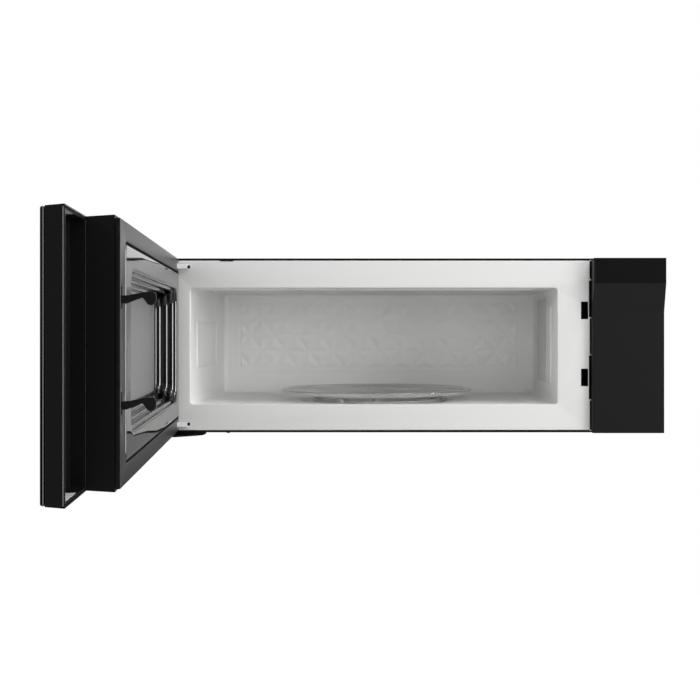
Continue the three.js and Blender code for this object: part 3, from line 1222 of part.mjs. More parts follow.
// The black foot under the lower hinge, with a toe below the door's corner.
function hingeSupport() {
  const top = BOTTOM - FIT;
  const left = LEFT + SUPPORT_INSET;
  const toe = FRONT - SUPPORT_TOE;
  const rear = FRONT + SUPPORT_REAR;
  const foot = polygon([
    [left, rear], [left, toe + 4], [left + 3, toe], [left + 11, toe], [left + 19, toe + 8],
    [left + SUPPORT_W - 8, FRONT + 2], [left + SUPPORT_W, FRONT + 14], [left + SUPPORT_W, rear]]);
  const body = prism(foot, 'z', top - SUPPORT_T, top);
  const room = block([LEFT, RIGHT], [toe - 1, FRONT - 1], [top - SUPPORT_T + SUPPORT_LIP, top + 1]);
  return piece('hinge_support', cut(body, room), blackPlastic);
}

// The latch body behind the front plate: a pocket behind each latch hole with
// its catch ledge, and a bay behind each pocket for an interlock switch.
function latchBody() {
  const y = [PLATE_BACK + FIT, HOOK_TIP_Y + PLUNGER_GAP + PLUNGER_STROKE + 1 + SWITCH_D + 4];
  const x = grown(around(HOOK_X, LATCH_HOLE_W), LATCH_WALL);
  let body = block(x, y, [HOOKS[1] - LATCH_BELOW, HOOKS[0] + LATCH_ABOVE]);
  for (const middle of HOOKS) {
    const high = around(middle + LATCH_HOLE_RISE, LATCH_HOLE_H);
    const pocket = [x[0] + LATCH_WALL, x[1] - LATCH_WALL / 3];
    body = body.subtract(block(pocket, [y[0] - 1, switchFront() + 0.01], high));
    body = body.subtract(block([HOOK_X - SWITCH_W / 2 - FIT, x[1] + 1], [switchFront() - 0.01, y[1] + 1],
      grown(around(switchZ(middle), SWITCH_H), FIT)));
  }
  const between = around(HOOK_RISE, 2 * HOOK_Z - LATCH_HOLE_H - 14);
  const lightening = block([HOOK_X - 3, x[1] + 1], grown(y, -6), between);
  const side = block([x[1] - 0.5, x[1] + 10], [y[0], y[0] + 3], [-14, 14]);
  return piece('latch_body', joined(cut(body, lightening), side), whitePlastic);
}

const switchFront = () => HOOK_TIP_Y + PLUNGER_GAP + PLUNGER_STROKE + 1;
const switchZ = (middle) => middle + 2;

function interlockSwitch(name, middle) {
  const body = block(around(0, SWITCH_W), [FIT, SWITCH_D], around(0, SWITCH_H));
  const room = block(grown(around(0, PLUNGER), 0.4), [-1, 6], grown(around(0, PLUNGER), 0.4));
  const tabs = row(3, 7).map((z) => block(around(0, 3), [SWITCH_D - 0.5, SWITCH_D + 6], around(z, 0.8)));
  return piece(name, joined(cut(body, room), ...tabs), greyPlastic, [HOOK_X, switchFront(), switchZ(middle)]);
}

function plunger(name, middle) {
  const tip = -(PLUNGER_STROKE + 1);
  const body = block(around(0, PLUNGER), [tip, 6 - PLUNGER_STROKE - FIT], around(0, PLUNGER));
  return piece(name, body, whitePlastic, [HOOK_X, switchFront(), switchZ(middle)]);
}

// ---------------------------------------------------------------- door

// The outer frame: a shallow tray behind the glass. Its right end overhangs
// the control column and is left open at the back as a hand hold.
function doorFrame() {
  const u = [FRAME_LEFT, FRAME_RIGHT];
  const h = DOOR_H / 2;
  const side = polygon([
    [FRAME_REAR, -h], [FRAME_REAR, h], [FRAME_FRONT, h - DOOR_TAPER], [FRAME_FRONT, -h + DOOR_TAPER]]);
  const body = prism(side, 'x', ...u);
  const z = around(0, DOOR_H - 2 * DOOR_TAPER - 2 * DOOR_FLANGE);
  const deep = [FRAME_FRONT + DOOR_SKIN, FRAME_REAR + 1];
  const rib = BOX_RIGHT + FIT;
  const behindBox = block([u[0] + DOOR_FLANGE, rib], deep, z);
  const handHold = block([rib + DOOR_FLANGE, u[1] - DOOR_FLANGE], deep, z);
  const window = prism(roundedRect(grown(stepU(STEP_COUNT), -2), grown(stepZ(STEP_COUNT), -2), STEP_R / 2),
    'y', FRAME_FRONT - 1, FRAME_FRONT + DOOR_SKIN + 1);
  const film = block(touchU(), [FRAME_FRONT - 1, FRAME_FRONT + TOUCH_FILM + FIT], around(0, TOUCH_H + 2 * FIT));
  return piece('door_frame', cut(body, behindBox, handHold, window, film), blackPaint);
}

const touchU = () => around((BOX_RIGHT + FIT + DOOR_FLANGE + FRAME_RIGHT) / 2, TOUCH_W + 2 * FIT);

function touchSensor() {
  const film = block(grown(touchU(), -FIT), [FRAME_FRONT + FIT / 2, FRAME_FRONT + TOUCH_FILM], around(0, TOUCH_H));
  return piece('touch_sensor', film, boardGreen);
}

// The front glass, with its edges eased.
function doorGlass() {
  const u = [FRAME_LEFT + GLASS_INSET, FRAME_RIGHT - GLASS_INSET];
  const z = around(0, DOOR_H - 2 * DOOR_TAPER - 2 * GLASS_INSET);
  const back = FRAME_FRONT - FIT;
  const easing = 0.7;
  const whole = prism(roundedRect(u, z, 1.5), 'y', back - DOOR_GLASS + easing, back, 1);
  const face = prism(roundedRect(grown(u, -easing), grown(z, -easing), 1), 'y', back - DOOR_GLASS, back, 1);
  return piece('door_glass', whole.add(face), glossBlack);
}

// Steps of the window recess, counted from the inner face.
const stepU = (n) => grown([STEP_LEFT, STEP_RIGHT], -n * STEP_TREAD);
const stepZ = (n) => grown(around(0, STEP_H), -n * STEP_TREAD);
const panelTop = () => COVER_REAR - PANEL_DROP;
const stepLevel = (n) => STEP_DEPTHS.slice(0, n).reduce((level, depth) => level - depth, panelTop());

// The inner box: a sheet pan with a flared lip, open towards the glass. It has
// the hinge blocks, the notches for the hinge leaves, the slots for the hooks
// and the ledge for the latch spring.
function doorBox() {
  const u = [BOX_LEFT, BOX_RIGHT];
  const h = BOX_H / 2;
  const front = FRAME_REAR + FIT;
  const side = (wall) => polygon([
    [front - (wall ? 1 : 0), -h + wall], [front - (wall ? 1 : 0), h - wall],
    [BOX_REAR - wall, h + BOX_FLARE - wall], [BOX_REAR - wall, -h - BOX_FLARE + wall]]);
  const shell = cut(prism(side(0), 'x', ...u), prism(side(BOX_SHEET), 'x', ...grown(u, -BOX_SHEET)));
  const recess = grown([STEP_LEFT, STEP_RIGHT], PAN_WALL + FIT);
  const opening = prism(roundedRect(recess, grown(around(0, STEP_H), PAN_WALL + FIT), STEP_R + PAN_WALL), 'y',
    front - 2, BOX_REAR + 1);

  const blockU = [BOX_LEFT + 0.5, KNUCKLE_R + 4];
  const blockV = [-KNUCKLE_R - 4, BOX_REAR - 0.5];
  const reach = PIN_LENGTH + 3;
  const [upperZ, lowerZ] = DOOR_HINGES;
  const upper = [upperZ - HINGE_H / 2 - reach, upperZ - HINGE_H / 2 - HINGE_NOTCH];
  const lower = [lowerZ + HINGE_H / 2 + HINGE_NOTCH, lowerZ + HINGE_H / 2 + reach];
  const blocks = [upper, lower].map((z) => block(blockU, blockV, z));
  const bores = [upper, lower].map((z) => bar('z', [0, 0], PIN_R + PIN_CLEARANCE, z[0] - 3, z[1] + 3, 16));
  const slots = DOOR_HOOKS.map((z) => hookSlot(z, BOX_REAR));
  const ledgeZ = barTop() + SPRING_LENGTH + 2 * FIT;
  const ledge = block(around(HOOK_U, 2 * SPRING_R + 4), [barBack() - 2 * SPRING_R, BOX_REAR - 0.5],
    [ledgeZ, ledgeZ + BOX_SHEET]);
  const notches = DOOR_HINGES.map((z) => hingeNotch(z));
  const body = joined(cut(shell, opening), ...blocks, ledge);
  return piece('door_box', cut(body, ...bores, ...slots, ...notches), blackPaint);
}

// Room for a hinge leaf in every position of the door.
function hingeNotch(z) {
  const reach = Math.hypot(HINGE_W - KNUCKLE_R, HINGE_FRONT) + HINGE_NOTCH;
  const behind = Math.hypot(KNUCKLE_R, HINGE_FRONT) + HINGE_NOTCH;
  return block([-reach, reach], [-behind, HINGE_FRONT + 1], around(z, HINGE_H + 2 * HINGE_NOTCH));
}

// The slot that a hook rises in.
function hookSlot(z, rear) {
  return block(around(HOOK_U, SLOT_W), [rear - 6, rear + 1], [z - SLOT_BELOW, z + SLOT_ABOVE]);
}

// The moulded cover ring round the inner face, with chamfered edges.
function chokeCover() {
  const u = [BOX_LEFT + COVER_INSET, BOX_RIGHT - COVER_END_INSET];
  const z = around(0, BOX_H - 2 * COVER_EDGE_INSET);
  const front = BOX_REAR + FIT;
  const back = COVER_REAR;
  const lower = prism(roundedRect(u, z, 2), 'y', front, back - COVER_CHAMFER, 1);
  const upper = prism(roundedRect(grown(u, -COVER_CHAMFER), grown(z, -COVER_CHAMFER), 2), 'y', front, back, 1);
  const face = prism(roundedRect([FACE_LEFT, FACE_RIGHT], around(0, FACE_H), 3), 'y', front - 1, back + 1, 1);
  const slots = DOOR_HOOKS.map((height) => hookSlot(height, back));
  const notches = DOOR_HINGES.map((height) => hingeNotch(height));
  return piece('choke_cover', cut(lower.add(upper), face, ...slots, ...notches), blackPlastic);
}

// The glossy inner panel: a flat border, then the steps down to the window.
function innerPanel() {
  const flatRear = stepLevel(0);
  const border = roundedRect(grown([FACE_LEFT, FACE_RIGHT], -FIT), grown(around(0, FACE_H), -FIT), 3);
  let body = prism(border, 'y', BOX_REAR + FIT, flatRear, 1);
  const rectangle = (n, by) => roundedRect(grown(stepU(n), by), grown(stepZ(n), by), STEP_R - 3 * n + by);
  for (let n = 0; n < STEP_COUNT; n += 1) {
    body = body.add(prism(rectangle(n, PAN_WALL), 'y', stepLevel(n + 1) - PAN_WALL, stepLevel(n) - 0.5));
  }
  for (let n = 0; n < STEP_COUNT; n += 1) {
    body = body.subtract(prism(rectangle(n, 0), 'y', stepLevel(n + 1), stepLevel(n) + 1));
  }
  const bottom = stepLevel(STEP_COUNT);
  const window = prism(rectangle(STEP_COUNT, 0), 'y', bottom - 5, bottom + 1);
  return piece('inner_panel', body.subtract(window), glossBlack);
}

// The screened window behind the recess.
function windowScreen() {
  const back = stepLevel(STEP_COUNT) - PAN_WALL - FIT;
  const outline = roundedRect(grown(stepU(STEP_COUNT), 6), grown(stepZ(STEP_COUNT), 6), 8);
  return piece('window_screen', prism(outline, 'y', back - SCREEN, back), glossBlack);
}

// ---------------------------------------------------------------- latch, in the door

const barBack = () => BOX_REAR - BOX_SHEET - FIT;
const barTop = () => DOOR_HOOKS[0] + BAR_PAST_HOOK + 6;

// The latch bar with its two hooks. It is lifted by the nose of each hook
// riding over its catch, and the spring pushes it down again.
function latchBar() {
  const root = COVER_REAR;
  const v = (d) => root + d;
  const hook = polygon([
    [barBack() - BAR_T + 0.5, -3.8], [v(5), -3.8], [v(12), -0.8], [v(20), 2.2], [v(22.5), -1],
    [v(25), -4.6], [v(28), -5.4], [v(31), -4.4], [v(HOOK_REACH), -1], [v(HOOK_REACH), 5.2],
    [v(31), 7.6], [v(22), 7.6], [v(8), 4.6], [v(0), 3.8], [barBack() - BAR_T + 0.5, 3.8]]);
  const hooks = DOOR_HOOKS.map((z) => prism(hook, 'x', ...around(HOOK_U, HOOK_T)).translate([0, 0, z]));
  const strip = prism(roundedRect(around(HOOK_U, BAR_W), [DOOR_HOOKS[1] - BAR_PAST_HOOK, barTop()], 2), 'y',
    barBack() - BAR_T, barBack());
  return piece('latch_bar', joined(strip, ...hooks), blackPlastic);
}

// The latch spring: one wire wound up from the bar's head to the ledge above it.
function latchSpring() {
  const path = new THREE.Curve();
  const low = barTop() + FIT + SPRING_WIRE;
  const length = SPRING_LENGTH - 2 * SPRING_WIRE;
  const radius = SPRING_R - SPRING_WIRE;
  path.getPoint = (t, target = new THREE.Vector3()) => {
    const angle = 2 * Math.PI * SPRING_TURNS * t;
    return target.set(radius * Math.cos(angle), radius * Math.sin(angle), low + t * length);
  };
  const wire = new THREE.Shape();
  wire.absarc(0, 0, SPRING_WIRE, 0, 2 * Math.PI);
  const options = { steps: 8 * SPRING_TURNS, curveSegments: 2, bevelEnabled: false, extrudePath: path };
  const coil = solidOf(new THREE.ExtrudeGeometry(wire, options));
  return piece('latch_spring', coil, brightSteel, [HOOK_U, barBack() - SPRING_R - 0.2, 0]);
}

// ---------------------------------------------------------------- assembly

const oven = new THREE.Group();
oven.add(outerCase(), basePlate(), rearPanel(), cordInlet(), charcoalFilter());
oven.add(frontPlate(), cavityLiner(), waveguideCover(), controlColumn(), controlBoard());
oven.add(waveguide(), magnetron(), transformerCore(), transformerCoils(), capacitor(), diode());
oven.add(fanShroud(), fanMotor(), fanBlades(), lampHolder(), cavityLamp(), cooktopLamp(), lampCover());
oven.add(blowerHousing(), ventMotor(), ventWheel('vent_wheel_left', -1), ventWheel('vent_wheel_right', 1));
oven.add(damperFrame(), damperFlap(), turntableMotor(), turntableCoupler(), glassTray(), rollerRing());
for (let number = 1; number <= ROLLER_COUNT; number += 1) oven.add(roller(number));
const [filterLeftX, filterRightX] = filterCentres();
oven.add(greaseFilter('grease_filter_left', filterLeftX), greaseFilter('grease_filter_right', filterRightX));
oven.add(hinge('hinge_upper', HINGE_UPPER_Z, true), hinge('hinge_lower', HINGE_LOWER_Z, false));
oven.add(hingeSupport());
oven.add(latchBody());
oven.add(interlockSwitch('interlock_switch_upper', HOOKS[0]));
oven.add(interlockSwitch('interlock_switch_lower', HOOKS[1]));
oven.add(plunger('switch_plunger_upper', HOOKS[0]), plunger('switch_plunger_lower', HOOKS[1]));

const door = new THREE.Group();
door.add(doorFrame(), touchSensor(), doorGlass(), doorBox(), chokeCover(), innerPanel(), windowScreen());
door.add(latchBar(), latchSpring());
door.position.set(AXIS_X, AXIS_Y, DOOR_RISE);
door.rotation.z = -THREE.MathUtils.degToRad(DOOR_OPEN_DEG);
oven.add(door);

export default oven;
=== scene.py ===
# %% [markdown]
# # An over-the-range microwave, finished in Blender
#
# Every sheet, hinge, hook and motor is already a solid of its real size. This lesson dresses
# that frame: it rounds the edges that light catches, makes the drawn cavity, the glass tray and
# the stepped door panel as smooth surfaces, and gives each piece its factory finish.

# %% Load the frame
import json
import math

import bmesh
import bpy
import numpy as np
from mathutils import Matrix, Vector


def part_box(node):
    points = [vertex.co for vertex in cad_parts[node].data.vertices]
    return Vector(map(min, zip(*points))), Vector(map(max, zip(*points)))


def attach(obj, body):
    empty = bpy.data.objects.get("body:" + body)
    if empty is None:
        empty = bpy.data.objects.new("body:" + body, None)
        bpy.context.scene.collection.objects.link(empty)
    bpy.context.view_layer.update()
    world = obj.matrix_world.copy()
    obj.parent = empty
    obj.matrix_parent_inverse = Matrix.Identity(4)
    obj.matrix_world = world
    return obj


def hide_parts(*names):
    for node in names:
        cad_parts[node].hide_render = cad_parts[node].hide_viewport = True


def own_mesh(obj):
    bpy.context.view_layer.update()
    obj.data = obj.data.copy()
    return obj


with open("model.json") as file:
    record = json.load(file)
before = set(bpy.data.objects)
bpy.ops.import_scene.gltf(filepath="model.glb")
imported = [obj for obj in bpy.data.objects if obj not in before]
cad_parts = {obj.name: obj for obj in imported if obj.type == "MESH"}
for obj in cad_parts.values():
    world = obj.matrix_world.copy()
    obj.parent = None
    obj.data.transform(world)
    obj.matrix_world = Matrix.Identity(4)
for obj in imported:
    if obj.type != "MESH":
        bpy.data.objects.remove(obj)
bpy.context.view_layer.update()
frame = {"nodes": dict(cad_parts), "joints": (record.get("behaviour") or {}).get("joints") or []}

MM = 0.001

# %% [markdown]
# Most places are read from the frame, so a piece made here sits exactly where its solid does.
# Each box gives the lowest and highest corner of one node.

# %% Places read from the frame
plate_low, plate_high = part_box("front_plate")
liner_low, liner_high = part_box("cavity_liner")
case_low, case_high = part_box("outer_case")

LINER_SHEET = 1.0 * MM
LINER_FLANGE = 8 * MM
WELL_DROP = 7.7 * MM
FRONT = plate_low.y
MOUTH_LEFT = liner_low.x + LINER_FLANGE
MOUTH_RIGHT = liner_high.x - LINER_FLANGE
MOUTH_TOP = liner_high.z - LINER_FLANGE
MOUTH_FLOOR = liner_low.z + LINER_SHEET + WELL_DROP
CAVITY_BACK = liner_high.y - LINER_SHEET
print(f"cavity {1000 * (MOUTH_RIGHT - MOUTH_LEFT):.1f} x {1000 * (MOUTH_TOP - MOUTH_FLOOR):.1f} "
      f"x {1000 * (CAVITY_BACK - FRONT):.1f} mm")

# %% [markdown]
# The door stands open. Its pieces are easiest to describe as if it were shut: u runs along it
# from the hinge, v points back to the oven and z is up. Two functions turn places open and back.

# %% Door places
hinge = next(joint for joint in frame["joints"] if joint["name"] == "door_hinge")
HINGE = np.array(hinge["pos_m"])
DOOR_OPEN = math.radians(hinge["range_deg"][1])
OPEN_COS, OPEN_SIN = math.cos(DOOR_OPEN), math.sin(DOOR_OPEN)


def door_to_world(points):
    """Turns places (u, v, z) of the shut door open about the hinge."""
    u, v, z = points[..., 0], points[..., 1], points[..., 2]
    return np.stack([HINGE[0] + u * OPEN_COS + v * OPEN_SIN,
                     HINGE[1] - u * OPEN_SIN + v * OPEN_COS, z], axis=-1)


def shut_box(node):
    """Lowest and highest (u, v, z) of a door node, by turning its points back shut."""
    mesh = frame["nodes"][node].data
    places = np.zeros(len(mesh.vertices) * 3)
    mesh.vertices.foreach_get("co", places)
    x, y, z = places.reshape(-1, 3).T
    dx, dy = x - HINGE[0], y - HINGE[1]
    shut = np.stack([dx * OPEN_COS - dy * OPEN_SIN, dx * OPEN_SIN + dy * OPEN_COS, z])
    return shut.min(axis=1), shut.max(axis=1)


panel_low, panel_high = shut_box("inner_panel")
cover_low, cover_high = shut_box("choke_cover")
frame_low, frame_high = shut_box("door_frame")
print("panel, shut:", np.round(1000 * panel_low, 1), np.round(1000 * panel_high, 1))
print("cover, shut:", np.round(1000 * cover_low, 1), np.round(1000 * cover_high, 1))

# %% [markdown]
# The camera stands a little over two metres from the wall, level with the oven, and looks
# straight at it. The picture was cropped off centre, and that is what the shift does, so no
# upright line leans.

# %% The camera
FRAME_PX = 700
FOCAL_PX = 1135.3
STRAIGHT_AHEAD_PX = (406.1, 330.2)
SENSOR = 36
CAMERA_PLACE = (-0.01225, -2.1462, 0.02323)

camera_data = bpy.data.cameras.new("camera")
camera_data.sensor_width = SENSOR
camera_data.lens = FOCAL_PX * SENSOR / FRAME_PX
camera_data.shift_x = (FRAME_PX / 2 - STRAIGHT_AHEAD_PX[0]) / FRAME_PX
camera_data.shift_y = (STRAIGHT_AHEAD_PX[1] - FRAME_PX / 2) / FRAME_PX
camera = bpy.data.objects.new("camera", camera_data)
camera.location = CAMERA_PLACE
camera.rotation_euler = (math.radians(90), 0, 0)
bpy.context.scene.collection.objects.link(camera)
bpy.context.scene.camera = camera
print(f"lens {camera_data.lens:.2f} mm, shift {camera_data.shift_x:.4f}, {camera_data.shift_y:.4f}")

# %% [markdown]
# ## Surfaces from arrays
#
# A shape here is an array of points on a grid. One function makes it a mesh and joins its
# ends where it closes on itself. Doubles at a pole are merged and the faces are turned
# outwards, because a grid can come out either way round.

# %% Grids to meshes
MERGE_DISTANCE = 1e-6
COPY_MERGE_DISTANCE = 2e-6
SURFACE_SHARP_DEG = 40
FLAT_DEG = 0.6


def grid_faces(rows, columns, close_rows, close_columns):
    """Quads of a grid: each joins a point, its neighbour along the row, and the two above."""
    index = np.arange(rows * columns).reshape(rows, columns)
    if close_rows:
        index = np.vstack([index, index[:1]])
    if close_columns:
        index = np.hstack([index, index[:, :1]])
    corners = [index[:-1, :-1], index[:-1, 1:], index[1:, 1:], index[1:, :-1]]
    return np.stack([corner.ravel() for corner in corners], axis=1)


def merge(mesh, distance=MERGE_DISTANCE, outwards=True, flatten=False):
    """Joins doubled points. Then turns the faces outwards, or makes flat neighbours one face."""
    work = bmesh.new()
    work.from_mesh(mesh)
    bmesh.ops.remove_doubles(work, verts=work.verts, dist=distance)
    if flatten:
        bmesh.ops.dissolve_limit(work, angle_limit=math.radians(FLAT_DEG), verts=work.verts,
                                 edges=work.edges)
    elif outwards:
        bmesh.ops.recalc_face_normals(work, faces=work.faces)
    work.to_mesh(mesh)
    work.free()


def new_piece(name, mesh, material, sharp_deg):
    """An object of one material, shaded smooth across every edge flatter than an angle."""
    mesh.polygons.foreach_set("use_smooth", np.ones(len(mesh.polygons), bool))
    mesh.set_sharp_from_angle(angle=math.radians(sharp_deg))
    mesh.materials.append(material)
    piece = bpy.data.objects.new(name, mesh)
    bpy.context.scene.collection.objects.link(piece)
    return piece


def surface(name, grid, material, close_rows=False, close_columns=True, solid=True):
    """A mesh from an array of points, rows x columns x 3. A solid one is faced outwards."""
    rows, columns = grid.shape[:2]
    faces = grid_faces(rows, columns, close_rows, close_columns)
    mesh = bpy.data.meshes.new(name)
    mesh.from_pydata(grid.reshape(-1, 3).tolist(), [], faces.tolist())
    merge(mesh, outwards=solid)
    return new_piece(name, mesh, material, SURFACE_SHARP_DEG)


def thicken(piece, thickness, side):
    """Gives a surface its wall: side 1 lays it in front of the faces and -1 behind them."""
    wall = piece.modifiers.new("wall", "SOLIDIFY")
    wall.thickness = thickness
    wall.offset = side


def place(piece, body, slot, *stands_for):
    """A piece rides on its body and hides the nodes it stands for. The slot is not used."""
    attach(piece, body)
    if stands_for:
        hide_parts(*stands_for)
    print(f"{piece.name}: {len(piece.data.polygons)} faces on {body}")
    return piece


print("faces of a closed 3 x 4 grid:", len(grid_faces(3, 4, True, True)))

# %% [markdown]
# Two kinds of outline come back again and again: a rectangle with round corners, and a bent
# line with its corners rounded off, as a press tool rounds sheet metal.

# %% Outlines
def smoothstep(t):
    """Rises from 0 to 1 as t does, with level ends: 3t squared less 2t cubed."""
    t = np.clip(t, 0, 1)
    return t * t * (3 - 2 * t)


def rounded_rectangle(half_a, half_b, radius, arc_steps, side_steps=(1, 1)):
    """Points round a rectangle: quarter circles about its four inset corners, sides cut evenly."""
    corner_signs = [(1, 1), (-1, 1), (-1, -1), (1, -1)]
    angles = np.linspace(0, math.pi / 2, arc_steps + 1)
    loop = []
    for quarter, (sign_a, sign_b) in enumerate(corner_signs):
        turned = angles + quarter * math.pi / 2
        arc = np.stack([sign_a * (half_a - radius) + radius * np.cos(turned),
                        sign_b * (half_b - radius) + radius * np.sin(turned)], axis=1)
        next_a, next_b = corner_signs[(quarter + 1) % 4]
        end = np.array([next_a * (half_a - radius) + radius * math.cos(turned[-1]),
                        next_b * (half_b - radius) + radius * math.sin(turned[-1])])
        steps = side_steps[quarter % 2]
        side = arc[-1] + np.linspace(0, 1, steps + 1)[1:-1, None] * (end - arc[-1])
        loop.extend([arc, side])
    return np.vstack(loop)


def rectangle_at(low_a, high_a, low_b, high_b, radius, arc_steps):
    """A rounded rectangle between two values on each axis."""
    loop = rounded_rectangle((high_a - low_a) / 2, (high_b - low_b) / 2, radius, arc_steps)
    return loop + [(low_a + high_a) / 2, (low_b + high_b) / 2]


def ring_at(loop, middle_a, level, middle_b):
    """A loop of (a, b) points moved to its middle, at one level of the axis between a and b."""
    return np.column_stack([loop[:, 0] + middle_a, np.full(len(loop), level), loop[:, 1] + middle_b])


def eased(corners, radius, steps):
    """A bent line with its inner corners rounded: each becomes a curve that starts and ends
    a radius away from the corner, as a quadratic blend of the three points."""
    corners = np.asarray(corners, float)
    radius = np.reshape(radius, (-1, 1))
    before, at, after = corners[:-2], corners[1:-1], corners[2:]
    back, ahead = before - at, after - at
    back_length = np.linalg.norm(back, axis=1, keepdims=True)
    ahead_length = np.linalg.norm(ahead, axis=1, keepdims=True)
    start = at + back / back_length * np.minimum(radius, back_length / 2)
    end = at + ahead / ahead_length * np.minimum(radius, ahead_length / 2)
    t = np.linspace(0, 1, steps + 1)[None, :, None]
    bend = (1 - t) ** 2 * start[:, None] + 2 * t * (1 - t) * at[:, None] + t ** 2 * end[:, None]
    return np.vstack([corners[:1], bend.reshape(-1, 2), corners[-1:]])


def revolved(profile, sides):
    """Points of a turned shape: each (radius, height) of the profile carried round the Z axis."""
    profile = np.asarray(profile, float)
    angles = np.linspace(0, 2 * math.pi, sides, endpoint=False)
    radius = profile[:, 0][:, None]
    height = np.broadcast_to(profile[:, 1][:, None], (len(profile), sides))
    return np.stack([radius * np.cos(angles), radius * np.sin(angles), height], axis=2)


print("points round a rectangle with eight steps in each corner:", len(rounded_rectangle(2, 1, 0.5, 8)))

# %% [markdown]
# ## Finishes
#
# A finish starts from the real surface and how it was made. Its plain values go straight onto
# the shader, and a pattern, such as a coat's orange peel, has a real size in millimetres.

# %% Colour and node helpers
def colour(hex_code):
    """A linear colour from an sRGB hex value, by the sRGB curve."""
    channels = np.array([int(hex_code[i:i + 2], 16) for i in (1, 3, 5)]) / 255
    linear = np.where(channels <= 0.04045, channels / 12.92, ((channels + 0.055) / 1.055) ** 2.4)
    return (*linear, 1.0)


def add(material, kind, inputs=None, **settings):
    """Adds a shader node: its settings are properties, its inputs are values or other sockets."""
    node = material.node_tree.nodes.new("ShaderNode" + kind)
    for key, value in settings.items():
        setattr(node, key, value)
    for key, value in (inputs or {}).items():
        if isinstance(value, bpy.types.NodeSocket):
            material.node_tree.links.new(value, node.inputs[key])
        else:
            node.inputs[key].default_value = value
    return node


def finish(name, hex_code, roughness, **shader_values):
    """A material on one Principled shader, with its plain values set on the shader itself."""
    material = bpy.data.materials.new(name)
    material.use_nodes = True
    shader = material.node_tree.nodes["Principled BSDF"]
    shader.inputs["Base Color"].default_value = colour(hex_code)
    shader.inputs["Roughness"].default_value = roughness
    for key, value in shader_values.items():
        shader.inputs[key.replace("_", " ")].default_value = value
    return material


def link(material, socket, key):
    """Joins a socket to one of the material's shader inputs."""
    shader = material.node_tree.nodes["Principled BSDF"]
    material.node_tree.links.new(socket, shader.inputs[key])


def pattern(material, kind, inputs=None, **settings):
    """Adds a node that reads the piece's own coordinates, so its pattern stays on the piece."""
    own_place = add(material, "TexCoord").outputs["Object"]
    return add(material, kind, {"Vector": own_place, **(inputs or {})}, **settings)


def per_mm(size_mm):
    """The scale that gives a pattern one cell in each size_mm."""
    return 1000 / size_mm


def emboss(material, height, depth_mm):
    """Raises the surface where a pattern is high, by up to depth_mm."""
    bump = add(material, "Bump", {"Height": height, "Distance": depth_mm * MM})
    link(material, bump.outputs["Normal"], "Normal")


def grain(material, size_mm, depth_mm, detail=2.0, stretch=(1, 1, 1)):
    """A noise bump: grains of the given size, that much high, stretched along an axis."""
    stretched = pattern(material, "Mapping", {"Scale": stretch}).outputs["Vector"]
    noise = add(material, "TexNoise", {"Vector": stretched, "Scale": per_mm(2 * size_mm), "Detail": detail})
    emboss(material, noise.outputs["Fac"], depth_mm)


def drift(material, size_mm, detail=2.0):
    """A slow noise from 0 to 1, for colour and gloss that wander."""
    return pattern(material, "TexNoise", {"Scale": per_mm(2 * size_mm), "Detail": detail}).outputs["Fac"]


def two_toned(material, share, low_hex, high_hex):
    """Lets the colour run from one tone to the other as a share goes from 0 to 1."""
    mix = add(material, "Mix", {"Factor": share, 6: colour(low_hex), 7: colour(high_hex)}, data_type="RGBA")
    link(material, mix.outputs[2], "Base Color")


print("grey of a middle hex value:", np.round(colour("#808080"), 3))

# %% [markdown]
# The case and the door's sheet metal are powder coated, and the mouldings round them are ABS
# with an etched grain. The control column is one moulding with a brow across its top, and its
# colour turns darker above the crease under the brow.

# %% Black finishes
# Powder coat, sprayed and baked: satin, with an orange peel that blurs what it mirrors.
powder_coat = finish("satin_black_powder_coat", "#0c0c0d", 0.42, Specular_IOR_Level=0.12)
grain(powder_coat, 0.9, 0.02)
coat_gloss = add(powder_coat, "MapRange", {"Value": drift(powder_coat, 45), "To Min": 0.38, "To Max": 0.46})
link(powder_coat, coat_gloss.outputs["Result"], "Roughness")

# Moulded ABS with an etched grain: scatters light, so it greys at a shallow angle.
etched_abs = finish("black_etched_abs", "#0d0d0e", 0.34, Specular_IOR_Level=0.25)
grain(etched_abs, 0.5, 0.05, detail=3)
two_toned(etched_abs, drift(etched_abs, 30), "#0c0c0d", "#0f0f10")

# Moulded nylon with glass fibre: dull black with a faintly uneven skin.
latch_nylon = finish("black_glass_filled_nylon", "#0b0b0c", 0.45, Specular_IOR_Level=0.25)
grain(latch_nylon, 0.7, 0.03)

# Polished ABS: a deep black mirror that waves slowly, as a moulding does.
polished_abs = finish("polished_black_abs", "#060607", 0.06, Specular_IOR_Level=0.8)
grain(polished_abs, 22, 0.05, detail=0)

# Moulded ABS with a fine grain: matt and nearly black, and darker on the brow.
column_abs = finish("black_moulded_column", "#141415", 0.4, Specular_IOR_Level=0.16)
grain(column_abs, 0.6, 0.03, detail=3)
BROW_Z = 93.9 * MM
BROW_EASING = 0.3 * MM
column_height = pattern(column_abs, "SeparateXYZ").outputs["Z"]
on_brow = add(column_abs, "MapRange", {"Value": column_height, "From Min": BROW_Z - BROW_EASING,
                                       "From Max": BROW_Z + BROW_EASING})
two_toned(column_abs, on_brow.outputs["Result"], "#151516", "#060607")

# Matt black rubber on the hinge support. Behind the plate's slots, on the cover bead, in the hand
# hold and in the rim bands it is painted shade. It takes in nearly all light, so it reads as a dark gap.
black_and_painted_shade = finish("matte_black_and_painted_shade", "#050505", 0.7, Specular_IOR_Level=0.05)

# The unlit space behind a small hole.
hole_dark = finish("dark_behind_a_hole", "#1b1b1b", 0.8, Specular_IOR_Level=0.1)

# Float glass printed black on its back: a flat, clear mirror over black.
front_glass = finish("black_backed_door_glass", "#040405", 0.03, Specular_IOR_Level=0.5)
print("materials so far, with the frame's own:", len(bpy.data.materials))
